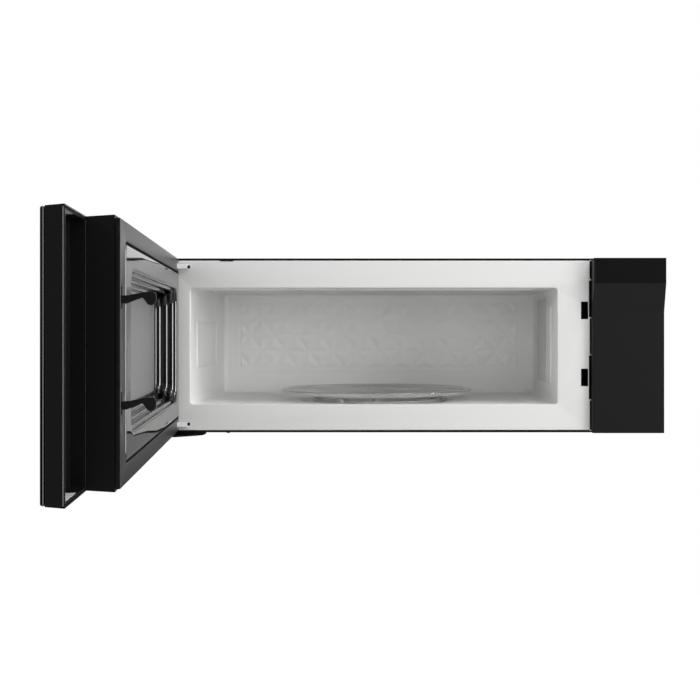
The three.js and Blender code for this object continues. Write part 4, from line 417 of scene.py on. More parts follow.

# %% [markdown]
# The cavity and the front plate are steel under a light enamel, baked on after forming, with
# a wide soft sheen and no grain that shows. The other metals are bare or thinly coated.

# %% Enamels and bare metals
# Baked enamel: clean white with a soft sheen, set greyer than the cavity's copy where the light is stronger.
white_enamel = finish("white_baked_enamel", "#c7c7c6", 0.34, Specular_IOR_Level=0.4)
grain(white_enamel, 1.4, 0.006)

# The same enamel in the cavity, painted paler than the plate's copy to lift the shade inside the
# cavity, with a slightly wider sheen.
cavity_enamel_painted_lighter = finish("cavity_enamel_with_painted_light", "#e5e5e4", 0.38, Specular_IOR_Level=0.4)
grain(cavity_enamel_painted_lighter, 1.6, 0.01)

# Primer without a top coat: flat grey, no shine.
grey_primer = finish("grey_primed_sheet", "#b8b8b9", 0.6, Specular_IOR_Level=0.2)
grain(grey_primer, 1.2, 0.01)

# Hot dip galvanised sheet: crystals about 9 mm wide, each its own grey.
galvanised = finish("galvanised_steel", "#9b9ea1", 0.38, Metallic=1.0)
spangle = pattern(galvanised, "TexVoronoi", {"Scale": per_mm(9)})
two_toned(galvanised, spangle.outputs["Color"], "#8d9093", "#a9acaf")

# Bright hinge leaves: nearly white, with a silky shine, painted as the highlight their polished metal shows.
hinge_painted_highlight = finish("hinge_leaf_painted_highlight", "#f4f4f4", 0.3, Metallic=0.2, Specular_IOR_Level=0.6)
grain(hinge_painted_highlight, 0.8, 0.01)

# Drawn steel wire: bright and sharp in the light.
spring_wire = finish("bright_spring_wire", "#c9cacb", 0.2, Metallic=1.0)

# Rolled aluminium: fine lines along the sheet that draw out its shine.
mill_aluminium = finish("mill_finish_aluminium", "#b9babc", 0.34, Metallic=1.0)
grain(mill_aluminium, 0.4, 0.012, stretch=(0.04, 1, 1))

# Varnished copper wire in turns 0.9 mm apart: even, orange brown ridges.
wound_copper = finish("varnished_copper_wire", "#9a5426", 0.32, Metallic=1.0)
turns = pattern(wound_copper, "TexWave", {"Scale": per_mm(2 * math.pi * 0.9)}, bands_direction="Z")
emboss(wound_copper, turns.outputs["Fac"], 0.3)

# Painted highlight: a thin grey line drawn where an edge of the door catches the light.
edge_highlight_paint = finish("painted_edge_highlight", "#606061", 0.45, Specular_IOR_Level=0.3)
print("with enamels and metals:", len(bpy.data.materials))

# %% [markdown]
# The smaller finishes: mica for the cover on the right wall, clear glass, pale mouldings, the
# screen of the door's window, the circuit boards and the charcoal pad.

# %% Mica, glass, mouldings and boards
# Pressed mica flakes: dull and warm grey, clouded every few millimetres.
mica = finish("pressed_mica_sheet", "#c2c1bf", 0.5, Specular_IOR_Level=0.4)
two_toned(mica, drift(mica, 2.5, detail=4), "#c6c5c3", "#d6d5d4")

# Tempered soda-lime glass: clear. Part of the light passes unbent, which keeps the floor
# under the tray bright.
tray_glass = finish("clear_tempered_tray_glass", "#f2f2f2", 0.02, IOR=1.5, Transmission_Weight=1.0,
                    Alpha=0.7)

# Perforated screen under a satin film: an even grey, lightened as painted reflection of the bright
# plate it mirrors. Its holes are too fine to show, so they are drawn 2 mm apart and read as dots up close.
window_film_and_sheen = finish("window_film_with_painted_sheen", "#7c7c7d", 0.4, Specular_IOR_Level=0.3)
holes = pattern(window_film_and_sheen, "TexVoronoi", {"Scale": per_mm(2.0), "Randomness": 0.0})
hole_edge = add(window_film_and_sheen, "MapRange", {"Value": holes.outputs["Distance"], "From Min": 0.28,
                                          "From Max": 0.36})
two_toned(window_film_and_sheen, hole_edge.outputs["Result"], "#6e6e6f", "#828283")

# Moulded acetal: milky white, since light goes a little way in.
white_moulding = finish("white_acetal", "#cfcfcd", 0.4, Subsurface_Weight=0.1, Subsurface_Scale=0.002)
grain(white_moulding, 1.0, 0.02)

# Nylon for the rollers and their ring: a duller, warmer grey than acetal, darkened as painted
# shade so they sink into the shadow under the tray.
roller_nylon_painted_shade = finish("roller_nylon_painted_shade", "#a3a3a1", 0.45, Specular_IOR_Level=0.3)
grain(roller_nylon_painted_shade, 1.0, 0.02)

# Moulded acrylic with a fine texture: clear, but it blurs the lamp behind it.
lens_acrylic = finish("clear_lamp_lens", "#f5f5f0", 0.18, IOR=1.49, Transmission_Weight=0.85)
grain(lens_acrylic, 1.2, 0.05)

# Blown glass: clear and shiny.
lamp_glass = finish("clear_bulb_glass", "#f7f4ea", 0.05, IOR=1.5, Transmission_Weight=0.7)

# Solder mask over copper: glossy green with a paler grid of tracks.
circuit_board = finish("green_solder_mask", "#1f4a2c", 0.3, Coat_Weight=0.3)
tracks = pattern(circuit_board, "TexBrick", {"Scale": per_mm(14), "Mortar Size": 0.05,
                                             "Color1": colour("#1f4a2c"), "Color2": colour("#24552f"),
                                             "Mortar": colour("#5d7f3f")})
link(circuit_board, tracks.outputs["Color"], "Base Color")

# Charcoal in 4 mm cells: dead black, rough and deeply pitted.
charcoal = finish("charcoal_pad", "#161616", 0.95)
cells = pattern(charcoal, "TexVoronoi", {"Scale": per_mm(4), "Randomness": 0.15})
emboss(charcoal, cells.outputs["Distance"], 1.0)
print("with all finishes:", len(bpy.data.materials))

# %% [markdown]
# ## Pieces that keep their own shape
#
# Where the outline is already right, only the edges need easing: nothing real has a knife
# edge, and the bright line along a rounded one makes it look solid. A copy of the node's mesh
# is merged, flat neighbours are made one face, and a Bevel rounds the true edges left.

# %% Rounded copies of nodes
def dressed(node, body, slot, material, edge_mm, segments=2, edge_deg=32):
    """A rounded copy of a node that stands for it, with its edges eased by edge_mm."""
    mesh = frame["nodes"][node].data.copy()
    mesh.name = node + "_dressed"
    mesh.materials.clear()
    merge(mesh, COPY_MERGE_DISTANCE, flatten=True)
    piece = new_piece(node + "_dressed", mesh, material, edge_deg)
    bevel = piece.modifiers.new("eased edges", "BEVEL")
    bevel.width = edge_mm * MM
    bevel.segments = segments
    bevel.limit_method = "ANGLE"
    bevel.angle_limit = math.radians(edge_deg)
    bevel.use_clamp_overlap = True
    bevel.harden_normals = True
    return place(piece, body, slot, node)


# %% Dress the case, the hinges and the door
dressed("outer_case", "cabinet", "black_paint", powder_coat, edge_mm=0.3)
dressed("base_plate", "cabinet", "black_paint", powder_coat, edge_mm=0.3)
dressed("rear_panel", "cabinet", "galvanised", galvanised, edge_mm=0.3)
dressed("cord_inlet", "cabinet", "black_plastic", etched_abs, edge_mm=0.5)
dressed("control_column", "cabinet", "black_plastic", column_abs, edge_mm=1.4, segments=3, edge_deg=14)
dressed("hinge_support", "cabinet", "black_plastic", black_and_painted_shade, edge_mm=0.5)
dressed("hinge_upper", "cabinet", "bright_steel", hinge_painted_highlight, edge_mm=1.6, segments=4)
dressed("hinge_lower", "cabinet", "bright_steel", hinge_painted_highlight, edge_mm=1.6, segments=4)
dressed("damper_frame", "cabinet", "galvanised", galvanised, edge_mm=0.3)
dressed("damper_flap", "damper_flap", "galvanised", galvanised, edge_mm=0.3)
dressed("waveguide_cover", "cabinet", "mica", mica, edge_mm=0.2)
dressed("turntable_coupler", "turntable", "white_plastic", white_moulding, edge_mm=0.5)
dressed("roller_ring", "roller_ring", "white_plastic", roller_nylon_painted_shade, edge_mm=0.5)
for number in (1, 2, 3):
    dressed(f"roller_{number}", f"roller_{number}", "white_plastic", roller_nylon_painted_shade, edge_mm=0.3)
dressed("door_frame", "door", "black_paint", powder_coat, edge_mm=0.4)
dressed("door_glass", "door", "door_glass", front_glass, edge_mm=0.4, edge_deg=20)
dressed("door_box", "door", "black_paint", powder_coat, edge_mm=0.4)
dressed("latch_bar", "latch", "black_plastic", latch_nylon, edge_mm=0.6)
dressed("window_screen", "door", "screen", window_film_and_sheen, edge_mm=0.2)
dressed("lamp_cover", "lamp_cover", "lens", lens_acrylic, edge_mm=0.4)

# %% [markdown]
# What is shut inside the case keeps its plain mesh and only gets its finish. The latch body
# and its switches are black, since nothing but black shows through the latch holes.

# %% Finishes for the inner pieces
inner_finishes = {
    galvanised: ["waveguide", "magnetron", "transformer_core", "fan_motor", "blower_housing", "vent_motor",
                 "vent_wheel_left", "vent_wheel_right", "turntable_motor"],
    wound_copper: ["transformer_coils"],
    mill_aluminium: ["capacitor", "grease_filter_left", "grease_filter_right"],
    latch_nylon: ["hv_diode", "fan_shroud", "latch_body", "interlock_switch_upper", "interlock_switch_lower",
                  "switch_plunger_upper", "switch_plunger_lower"],
    white_moulding: ["fan_blades", "lamp_holder", "cooktop_lamp"],
    circuit_board: ["control_board", "touch_sensor"],
    charcoal: ["charcoal_filter"],
    lamp_glass: ["cavity_lamp"],
}
for material, nodes in inner_finishes.items():
    for node in nodes:
        frame["nodes"][node].data.materials.clear()
        frame["nodes"][node].data.materials.append(material)
print("inner pieces finished:", sum(len(nodes) for nodes in inner_finishes.values()))

# %% [markdown]
# The latch spring holds the bar with both hooks down. When the hooks lift over their catch they
# press it together, so it is squashed towards its top. Here it is only dressed and given a mesh of its own.

# %% The latch spring
spring = dressed("latch_spring", "door", "bright_steel", spring_wire, edge_mm=0.05, segments=1, edge_deg=80)
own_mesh(spring)

# %% [markdown]
# ## The front plate
#
# A flat white sheet with the oven's mouth and two latch holes. Beside the control column it
# has five slots, and a black sheet of painted shade behind them makes them read as a dark joint.
# Blender's 2D curves suit it: splines inside one another are filled with holes, and the curve's
# own bevel rounds every cut edge at once. The flat result is then stood up in place.

# %% A sheet with holes
SHEET_SHARP_DEG = 30


def sheet_with_holes(name, outlines, thickness, edge, material, stand_up, *where):
    """A flat plate with rounded edges and holes, from outlines. stand_up(a, b, height) turns it
    upright, and where says its body, its slot and the node it stands for."""
    curve = bpy.data.curves.new(name, "CURVE")
    curve.dimensions = "2D"
    curve.fill_mode = "BOTH"
    curve.extrude = thickness / 2 - edge
    curve.bevel_depth = edge
    curve.bevel_resolution = 2
    curve.offset = -edge
    for outline in outlines:
        spline = curve.splines.new("POLY")
        spline.points.add(len(outline) - 1)
        corners = np.column_stack([outline, np.zeros(len(outline)), np.ones(len(outline))])
        spline.points.foreach_set("co", corners.ravel())
        spline.use_cyclic_u = True
    holder = bpy.data.objects.new(name + "_outline", curve)
    mesh = bpy.data.meshes.new_from_object(holder)
    bpy.data.objects.remove(holder)
    points = np.zeros(len(mesh.vertices) * 3)
    mesh.vertices.foreach_get("co", points)
    along, across, height = points.reshape(-1, 3).T
    mesh.vertices.foreach_set("co", stand_up(along, across, height + thickness / 2).ravel())
    merge(mesh)
    place(new_piece(name, mesh, material, SHEET_SHARP_DEG), *where)


def facing_front(y):
    """Stands a flat shape up so that it faces -Y, from y backwards by its thickness."""
    return lambda x, z, height: np.stack([x, y + height, z], axis=1)


# %% The front plate and the painted shade behind its slots
PLATE_SHEET = 1.2 * MM
PLATE_EASING = 0.5 * MM
PLATE_GAP = 0.8 * MM
PLATE_CORNER = 2 * MM
MOUTH_RADIUS = 5 * MM
HOOK_X = 260.8 * MM
HOOK_HEIGHTS = (53.5 * MM, -49.1 * MM)
HOOK_HOLE = (5.4 * MM, 13.4 * MM)
HOOK_CORNER = 0.6 * MM
# The slots beside the column, each as its bottom, top and width in mm.
JOINT_SLOTS = ((43, 99.4, 3.2), (-82.5, -15.3, 3.2), (101, 130, 1.9), (-13.7, 41.4, 1.9),
               (-130, -84.1, 1.9))
JOINT_LAP = 0.8 * MM
JOINT_CORNER = 0.5 * MM
JOINT_SHADE_LEFT = 4.2 * MM
JOINT_SHADE_RIGHT = 1.4 * MM
JOINT_SHADE_HALF = 131.5 * MM
JOINT_SHADE_SHEET = 0.8 * MM
JOINT_SHADE_SETBACK = 1.3 * MM

column_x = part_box("control_column")[0].x
plate_outlines = [
    rectangle_at(plate_low.x, plate_high.x, plate_low.z + PLATE_GAP, plate_high.z - PLATE_GAP,
                 PLATE_CORNER, 6),
    rectangle_at(MOUTH_LEFT, MOUTH_RIGHT, MOUTH_FLOOR, MOUTH_TOP, MOUTH_RADIUS, 10),
]
for height in HOOK_HEIGHTS:
    plate_outlines.append(rectangle_at(HOOK_X - HOOK_HOLE[0], HOOK_X + HOOK_HOLE[0],
                                       height - HOOK_HOLE[1], height + HOOK_HOLE[1], HOOK_CORNER, 3))
for low_z, high_z, width in JOINT_SLOTS:
    plate_outlines.append(rectangle_at(column_x - width * MM, column_x + JOINT_LAP, low_z * MM,
                                       high_z * MM, JOINT_CORNER, 3))
sheet_with_holes("front_plate_sheet", plate_outlines, PLATE_SHEET, PLATE_EASING, white_enamel,
                 facing_front(FRONT), "cabinet", "white_enamel", "front_plate")

# A black sheet behind the slots: painted shade for the gap between the plate and the column.
joint_shade_outline = rectangle_at(column_x - JOINT_SHADE_LEFT, column_x + JOINT_SHADE_RIGHT, -JOINT_SHADE_HALF, JOINT_SHADE_HALF,
                            JOINT_CORNER, 2)
sheet_with_holes("joint_shade_sheet", [joint_shade_outline], JOINT_SHADE_SHEET, 0.1 * MM, black_and_painted_shade,
                 facing_front(FRONT + JOINT_SHADE_SETBACK), "cabinet", "black_plastic")

# %% [markdown]
# Three small things sit on the plate and under it: the tongue of the case's hem, folded over
# the plate's top edge, the dark end of each hinge leaf, and two screw heads under the base.

# %% Tongue, leaf ends and screw heads
TONGUE = (-297 * MM, -275.5 * MM, 128.7 * MM, 132.6 * MM)
TONGUE_CORNER = 1.6 * MM
TONGUE_SHEET = 0.9 * MM
sheet_with_holes("hem_tongue", [rectangle_at(*TONGUE, TONGUE_CORNER, 6)], TONGUE_SHEET, 0.2 * MM,
                 powder_coat, facing_front(FRONT - TONGUE_SHEET), "cabinet", "black_paint")

LEAF_HEIGHT = 118.9 * MM
CAP_X = (2.1 * MM, 6.4 * MM)
CAP_HALF = 2.4 * MM
CAP_CORNER = 1.2 * MM
CAP_SHEET = 1 * MM
CAP_PROUD = 0.6 * MM
for node, leaf_middle in (("hinge_upper", LEAF_HEIGHT), ("hinge_lower", -LEAF_HEIGHT)):
    leaf_low, leaf_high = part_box(node)
    cap_outline = rectangle_at(leaf_high.x + CAP_X[0], leaf_high.x + CAP_X[1], leaf_middle - CAP_HALF,
                               leaf_middle + CAP_HALF, CAP_CORNER, 4)
    sheet_with_holes(node + "_end", [cap_outline], CAP_SHEET, 0.3 * MM, etched_abs,
                     facing_front(leaf_low.y - CAP_PROUD), "cabinet", "black_plastic")

# A screw head's half section as (radius, height) in mm, from its crown to just inside the base.
SCREW_HEAD = [(0, 1.7), (1.6, 1.5), (2.7, 0.9), (3.2, 0), (3.2, -0.5), (0, -0.5)]
SCREWS_X = (-285 * MM, 360.7 * MM)
SCREW_INSET = 6 * MM
for number, x in enumerate(SCREWS_X, 1):
    head = revolved(np.array(SCREW_HEAD) * MM, 24) * [1, 1, -1] + [x, FRONT + SCREW_INSET, case_low.z]
    place(surface(f"base_screw_{number}", head, etched_abs), "cabinet", "black_plastic")

# %% [markdown]
# ## The cavity
#
# A real cavity is one sheet wrapped into a tube, with a pressed back panel. Here the rounded
# outline of the mouth is carried back through the oven. Near the back it turns in by a quarter
# circle, so the corner shows the soft light line of a fold. On the floor the same points are
# lowered into the wide sunk panel and the round well for the rollers.

# %% The wrap
tray_low, tray_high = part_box("glass_tray")
TRAY_X = (tray_low.x + tray_high.x) / 2
TRAY_Y = (tray_low.y + tray_high.y) / 2
SINK = 2 * MM
SINK_MARGIN = (40 * MM, 14 * MM)
SINK_RADIUS = 60 * MM
SINK_EASING = 4 * MM
WELL_RADIUS = 124 * MM
WELL_EASING = 6 * MM
BACK_FOLD = 7 * MM
FOLD_GAP = 0.1 * MM
WRAP_SETBACK = 1.3 * MM
WRAP_RINGS = 110
WRAP_SIDES = (190, 20)
TIGHTEST_CORNER = 0.4 * MM
CAVITY_SHEET = 0.8 * MM
middle_x = (MOUTH_LEFT + MOUTH_RIGHT) / 2
middle_y = (FRONT + CAVITY_BACK) / 2
middle_z = (MOUTH_FLOOR + MOUTH_TOP) / 2
half_w = (MOUTH_RIGHT - MOUTH_LEFT) / 2
half_d = (CAVITY_BACK - FRONT) / 2
half_h = (MOUTH_TOP - MOUTH_FLOOR) / 2


def inside_rounded(a, b, half_a, half_b, radius):
    """How far a point lies inside a rounded rectangle about the origin; negative outside."""
    over_a = np.abs(a) - (half_a - radius)
    over_b = np.abs(b) - (half_b - radius)
    corner = np.hypot(np.maximum(over_a, 0), np.maximum(over_b, 0))
    return radius - corner - np.minimum(np.maximum(over_a, over_b), 0)


def floor_drop(x, y):
    """Depth of the floor's pressings, the sunk panel and the well, each with an eased edge."""
    panel = inside_rounded(x - middle_x, y - middle_y, half_w - SINK_MARGIN[0],
                           half_d - SINK_MARGIN[1], SINK_RADIUS)
    well = WELL_RADIUS - np.hypot(x - TRAY_X, y - TRAY_Y)
    panel_drop = SINK * smoothstep(0.5 + panel / SINK_EASING)
    return panel_drop + (WELL_DROP - SINK) * smoothstep(0.5 + well / WELL_EASING)


def wrap_points():
    """Rings of the mouth's outline at each depth, drawn in by the back fold's quarter circle."""
    straight = np.linspace(FRONT + WRAP_SETBACK, CAVITY_BACK - BACK_FOLD, WRAP_RINGS)
    fold = np.linspace(0, math.pi / 2, 9)[1:]
    depth = np.concatenate([straight, CAVITY_BACK - BACK_FOLD + (BACK_FOLD - FOLD_GAP) * np.sin(fold)])
    inset = np.concatenate([np.zeros(len(straight)), BACK_FOLD * (1 - np.cos(fold))])
    corner = np.maximum(MOUTH_RADIUS - inset, TIGHTEST_CORNER)
    grid = np.array([ring_at(rounded_rectangle(half_w - inward, half_h - inward, radius, 6, WRAP_SIDES),
                             middle_x, y, middle_z) for inward, radius, y in zip(inset, corner, depth)])
    x, y, z = grid[..., 0], grid[..., 1], grid[..., 2]
    on_floor = z < MOUTH_FLOOR + 0.01 * MM
    grid[..., 2] = z - np.where(on_floor, floor_drop(x, y), 0)
    return grid


cavity_wrap = surface("cavity_wrap", wrap_points(), cavity_enamel_painted_lighter)
thicken(cavity_wrap, CAVITY_SHEET, 1)
place(cavity_wrap, "cabinet", "grey_enamel", "cavity_liner")

# %% [markdown]
# The back panel carries the embossed field: rows of triangles, standing alternately on a side
# and on a point, each pressed up into a low pyramid. A point's place in its triangle is three
# shares that add up to one, and the smallest share, times three, is how high the pyramid
# stands there. A soft minimum of the shares rounds its ridges.

# %% The back panel
FIELD_MARGIN_X = 31 * MM
FIELD_TOP = MOUTH_TOP - 15 * MM
FIELD_BOTTOM = MOUTH_FLOOR + 46.6 * MM
FIELD_PHASE = -5.6 * MM
PITCH = 42.5 * MM
FIELD_ROWS = 4
FACET_RISE = 3.2 * MM
RIDGE_SHARPNESS = 34
PANEL_RISE = 0.5 * MM
PANEL_GRID = (421, 151)
PANEL_INSET = 0.5 * MM
PANEL_BELOW = 3 * MM
BORDER = 8 * MM
BORDER_CORNER = 6 * MM
BORDER_EASING = 3 * MM


def facet_height(x, z):
    """Height of the pyramids over the panel, from the smallest of each point's three shares."""
    row_height = (FIELD_TOP - FIELD_BOTTOM) / FIELD_ROWS
    up = (z - FIELD_BOTTOM) / row_height
    row = np.clip(np.floor(up), 0, FIELD_ROWS - 1)
    t = up - row
    odd = row % 2 == 1
    lean = np.where(odd, -0.5, 0.5)
    along = (x - MOUTH_LEFT - FIELD_MARGIN_X - FIELD_PHASE) / PITCH + np.where(odd, 0.0, 0.5) - t * lean
    f = along - np.floor(along)
    first = np.where(odd, t <= f, f + t <= 1)
    a = np.where(odd, np.where(first, 1 - f, 1 - t), np.where(first, 1 - f - t, f + t - 1))
    b = np.where(odd, np.where(first, f - t, t - f), np.where(first, f, 1 - f))
    c = np.where(odd, np.where(first, t, f), np.where(first, t, 1 - t))
    soft_sum = np.exp(-RIDGE_SHARPNESS * a) + np.exp(-RIDGE_SHARPNESS * b) + np.exp(-RIDGE_SHARPNESS * c)
    least = -np.log(soft_sum) / RIDGE_SHARPNESS
    return FACET_RISE * 3 * np.maximum(least, 0)


def back_panel_points():
    """The panel's face as a height field: a raised border panel, and the facets on it."""
    x, z = np.meshgrid(np.linspace(MOUTH_LEFT + PANEL_INSET, MOUTH_RIGHT - PANEL_INSET, PANEL_GRID[0]),
                       np.linspace(MOUTH_FLOOR - PANEL_BELOW, MOUTH_TOP - PANEL_INSET, PANEL_GRID[1]))
    field_x = half_w - FIELD_MARGIN_X
    field_z = (FIELD_TOP - FIELD_BOTTOM) / 2
    field_middle = (FIELD_TOP + FIELD_BOTTOM) / 2
    inside = inside_rounded(x - middle_x, z - field_middle, field_x + BORDER, field_z + BORDER,
                            BORDER_CORNER)
    height = PANEL_RISE * smoothstep(0.5 + inside / BORDER_EASING)
    in_field = (np.abs(x - middle_x) < field_x) & (np.abs(z - field_middle) < field_z)
    height = height + np.where(in_field, facet_height(x, z), 0)
    return np.stack([x, CAVITY_BACK - height, z], axis=2)


back_panel = surface("cavity_back_panel", back_panel_points(), cavity_enamel_painted_lighter, close_columns=False,
                     solid=False)
thicken(back_panel, CAVITY_SHEET, -1)
place(back_panel, "cabinet", "grey_enamel", "cavity_liner")

# %% [markdown]
# The pressed lines are a low rounded ridge carried round a path: a rounded rectangle on the
# left wall, a straight rib on the right one and one across the ceiling. Each is a closed body
# whose foot dips below the wall, so no seam shows. A few small vents in the ceiling's left
# corner are flat dark discs.

# %% Ridges and vents
RIDGE_FOOT = 0.5 * MM
RIDGE_DIP = 0.05 * MM
LEFT_RIDGE_Y = (FRONT + 58 * MM, FRONT + 237 * MM)
LEFT_RIDGE_HALF = 35 * MM
RIGHT_RIB_Y = (FRONT + 80.5 * MM, FRONT + 83.5 * MM)
RIGHT_RIB_HALF = 60 * MM
CEILING_RIB_Y = (FRONT + 68 * MM, FRONT + 71 * MM)
CEILING_RIB_MARGIN = 30 * MM
RIB_CORNER = 1.4 * MM


def ridge(name, path, width, rise, stand_up):
    """A ridge with a cosine-squared section along a closed path; stand_up(a, b, height) places it."""
    forward = np.roll(path, -1, axis=0) - np.roll(path, 1, axis=0)
    forward = forward / np.linalg.norm(forward, axis=1, keepdims=True)
    side = np.column_stack([-forward[:, 1], forward[:, 0]])
    across = np.linspace(-0.5, 0.5, 9)
    height = np.concatenate([rise * np.cos(math.pi * across) ** 2, [-RIDGE_FOOT]])
    across = np.concatenate([across * width, [0]])
    points = path[:, None] + side[:, None] * across[None, :, None]
    raised = np.broadcast_to(height, points.shape[:2])
    grid = np.stack(stand_up(points[..., 0], points[..., 1], raised - RIDGE_DIP), axis=2)
    place(surface(name, grid, cavity_enamel_painted_lighter, close_rows=True),
          "cabinet", "grey_enamel", "cavity_liner")


ridge("left_wall_ridge", rectangle_at(*LEFT_RIDGE_Y, -LEFT_RIDGE_HALF, LEFT_RIDGE_HALF, 6 * MM, 8),
      5 * MM, 1.4 * MM, lambda y, z, height: (MOUTH_LEFT + height, y, z))
ridge("right_wall_rib", rectangle_at(*RIGHT_RIB_Y, -RIGHT_RIB_HALF, RIGHT_RIB_HALF, RIB_CORNER, 6),
      4 * MM, 1.4 * MM, lambda y, z, height: (MOUTH_RIGHT - height, y, z))
ridge("ceiling_rib", rectangle_at(MOUTH_LEFT + CEILING_RIB_MARGIN, MOUTH_RIGHT - CEILING_RIB_MARGIN,
                                  *CEILING_RIB_Y, RIB_CORNER, 6),
      4 * MM, 1.2 * MM, lambda x, y, height: (x, y, MOUTH_TOP - height))

# Each vent as its place along Y and its radius, both in mm, and how much longer than wide it is.
VENTS = ((-381, 1.2, 1), (-300, 1.2, 2), (-262, 1.6, 3), (-247, 1.6, 4), (-232, 1.6, 4), (-111, 2.2, 2))
VENT_FROM_WALL = 3.4 * MM
VENT_LOW, VENT_HIGH = -0.25 * MM, 0.1 * MM
for number, (y, radius, stretch) in enumerate(VENTS, 1):
    section = [(0, VENT_LOW), (radius * MM, VENT_LOW), (radius * MM, VENT_HIGH), (0, VENT_HIGH)]
    disc = revolved(section, 16) * [1, stretch, 1] + [MOUTH_LEFT + VENT_FROM_WALL, y * MM, MOUTH_TOP]
    place(surface(f"ceiling_vent_{number}", disc, hole_dark), "cabinet", "grey_enamel")

# %% [markdown]
# ## The door's inner panel
#
# One glossy moulding: a flat border, then four steps down to the window. Its section, a
# staircase with every corner eased, is carried round the window's outline, so the corners
# sweep as they do on the real panel. The broad easing at each rim draws the light lines, and
# the tight one in each valley keeps it dark.

# %% The stepped panel
PANEL_U = (6.5 * MM, 598 * MM)
PANEL_CORNER = 6 * MM
PANEL_LIP = 3 * MM
PANEL_EDGE = 4 * MM
STEP_LEFT = 33 * MM
STEP_RIGHT = 560 * MM
STEP_EDGE = 48 * MM
STEP_DEPTHS = (4.6, 8.2, 9.5, 5.5)
STEP_TREAD = 4.5 * MM
STEP_LEAN = 0.5 * MM
STEP_RADIUS = 24 * MM
INNER_RADIUS = 4 * MM
RIM_EASING = 3.0 * MM
VALLEY_EASING = 0.8 * MM
WINDOW_SKIRT = 1.5 * MM
PANEL_SIDES = (40, 90)
PANEL_WALL = 1.4 * MM
door_middle = (cover_low[2] + cover_high[2]) / 2
case_half = (case_high.z - case_low.z) / 2
panel_middle_u = (PANEL_U[0] + PANEL_U[1]) / 2
panel_half_u = (PANEL_U[1] - PANEL_U[0]) / 2
panel_half_z = (panel_high[2] - panel_low[2]) / 2


def step_section():
    """The staircase as (inward, down): each riser leans a little and each edge has its easing."""
    corners = [(-9 * MM, 0.0), (0.0, 0.0)]
    easings = [RIM_EASING]
    down = 0.0
    for step, depth in enumerate(STEP_DEPTHS):
        down -= depth * MM
        corners.append((step * STEP_TREAD + STEP_LEAN, down))
        easings.append(VALLEY_EASING)
        corners.append(((step + 1) * STEP_TREAD, down))
        easings.append(RIM_EASING)
    corners.append((len(STEP_DEPTHS) * STEP_TREAD, down - WINDOW_SKIRT))
    return eased(corners, easings, 6)


def panel_points():
    """Rings from the panel's outer edge to the window, following the eased staircase."""
    face = panel_high[1]
    outer = eased([(0, face - PANEL_LIP), (0, face), (PANEL_EDGE, face)], 0.15 * MM, 3)
    rings = []
    for inward, v in outer:
        loop = rounded_rectangle(panel_half_u - inward, panel_half_z - inward, PANEL_CORNER - inward, 12,
                                 PANEL_SIDES)
        rings.append(ring_at(loop, panel_middle_u, v, door_middle))
    for inward, down in step_section():
        radius = max(STEP_RADIUS - 0.5 * inward, INNER_RADIUS)
        loop = rounded_rectangle((STEP_RIGHT - STEP_LEFT) / 2 - inward, case_half - STEP_EDGE - inward,
                                 radius, 12, PANEL_SIDES)
        rings.append(ring_at(loop, (STEP_LEFT + STEP_RIGHT) / 2, face + down, door_middle))
    return door_to_world(np.array(rings))


inner_panel = surface("stepped_inner_panel", panel_points(), polished_abs, solid=False)
thicken(inner_panel, PANEL_WALL, -1)
place(inner_panel, "door", "gloss_black", "inner_panel")

# %% [markdown]
# The ring round the panel is a satin moulding: a sheet with the openings for the hooks and the
# notches for the hinge leaves. Round the panel its edge is a separate bead with a broad
# chamfer, and between bead and panel runs a narrow groove that stays dark. The bead is finished
# matt near black, as painted shade for the dark line round the panel.

# %% The cover ring and its bead
BEAD_WIDTH = 4.4 * MM
BEAD_LAP = 0.4 * MM
GROOVE = 1.3 * MM
HOOK_SLOT = (625.8 * MM, 634.2 * MM)
HOOK_SLOT_BELOW = 8.8 * MM
HOOK_SLOT_ABOVE = 13.2 * MM
HOOK_SLOT_CORNER = 0.8 * MM
HOOKS = (52.8 * MM, -49.8 * MM)
NOTCH_REACH = 27.1 * MM
NOTCH_HALF = 4.7 * MM
NOTCH_BELOW_PIN = 3.5 * MM
NOTCH_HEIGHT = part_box("hinge_upper")[1].z - NOTCH_BELOW_PIN


def on_door(axis, level):
    """Stands a flat shape up in the door, its thickness along u, v or z (0, 1, 2) from a level."""
    def stand_up(a, b, height):
        columns = [a, b]
        columns.insert(axis, level + height)
        return door_to_world(np.stack(columns, axis=1))
    return stand_up


def cover_outline():
    """The ring's outline in (u, z), with the two notches for the hinge leaves."""
    left, right = cover_low[0], cover_high[0]
    bottom, top = cover_low[2], cover_high[2]
    corners = [(left, bottom), (right, bottom), (right, top), (left, top)]
    for middle in (NOTCH_HEIGHT, -NOTCH_HEIGHT):
        corners += [(left, middle + NOTCH_HALF), (NOTCH_REACH, middle + NOTCH_HALF),
                    (NOTCH_REACH, middle - NOTCH_HALF), (left, middle - NOTCH_HALF)]
    return np.array(corners)


def bead_points():
    """Rings round the panel at each corner of the bead's section: wall, chamfer and groove."""
    top = cover_high[1]
    foot = cover_low[1] + 0.4 * MM
    section = [(BEAD_WIDTH + BEAD_LAP, foot), (BEAD_WIDTH + BEAD_LAP, top - 0.12 * MM),
               (GROOVE + 0.5 * MM, top - 2.6 * MM), (GROOVE, top - 3.4 * MM), (GROOVE, foot)]
    rings = [ring_at(rounded_rectangle(panel_half_u + out, panel_half_z + out, PANEL_CORNER + out, 10),
                     panel_middle_u, v, door_middle) for out, v in section]
    return door_to_world(np.array(rings))


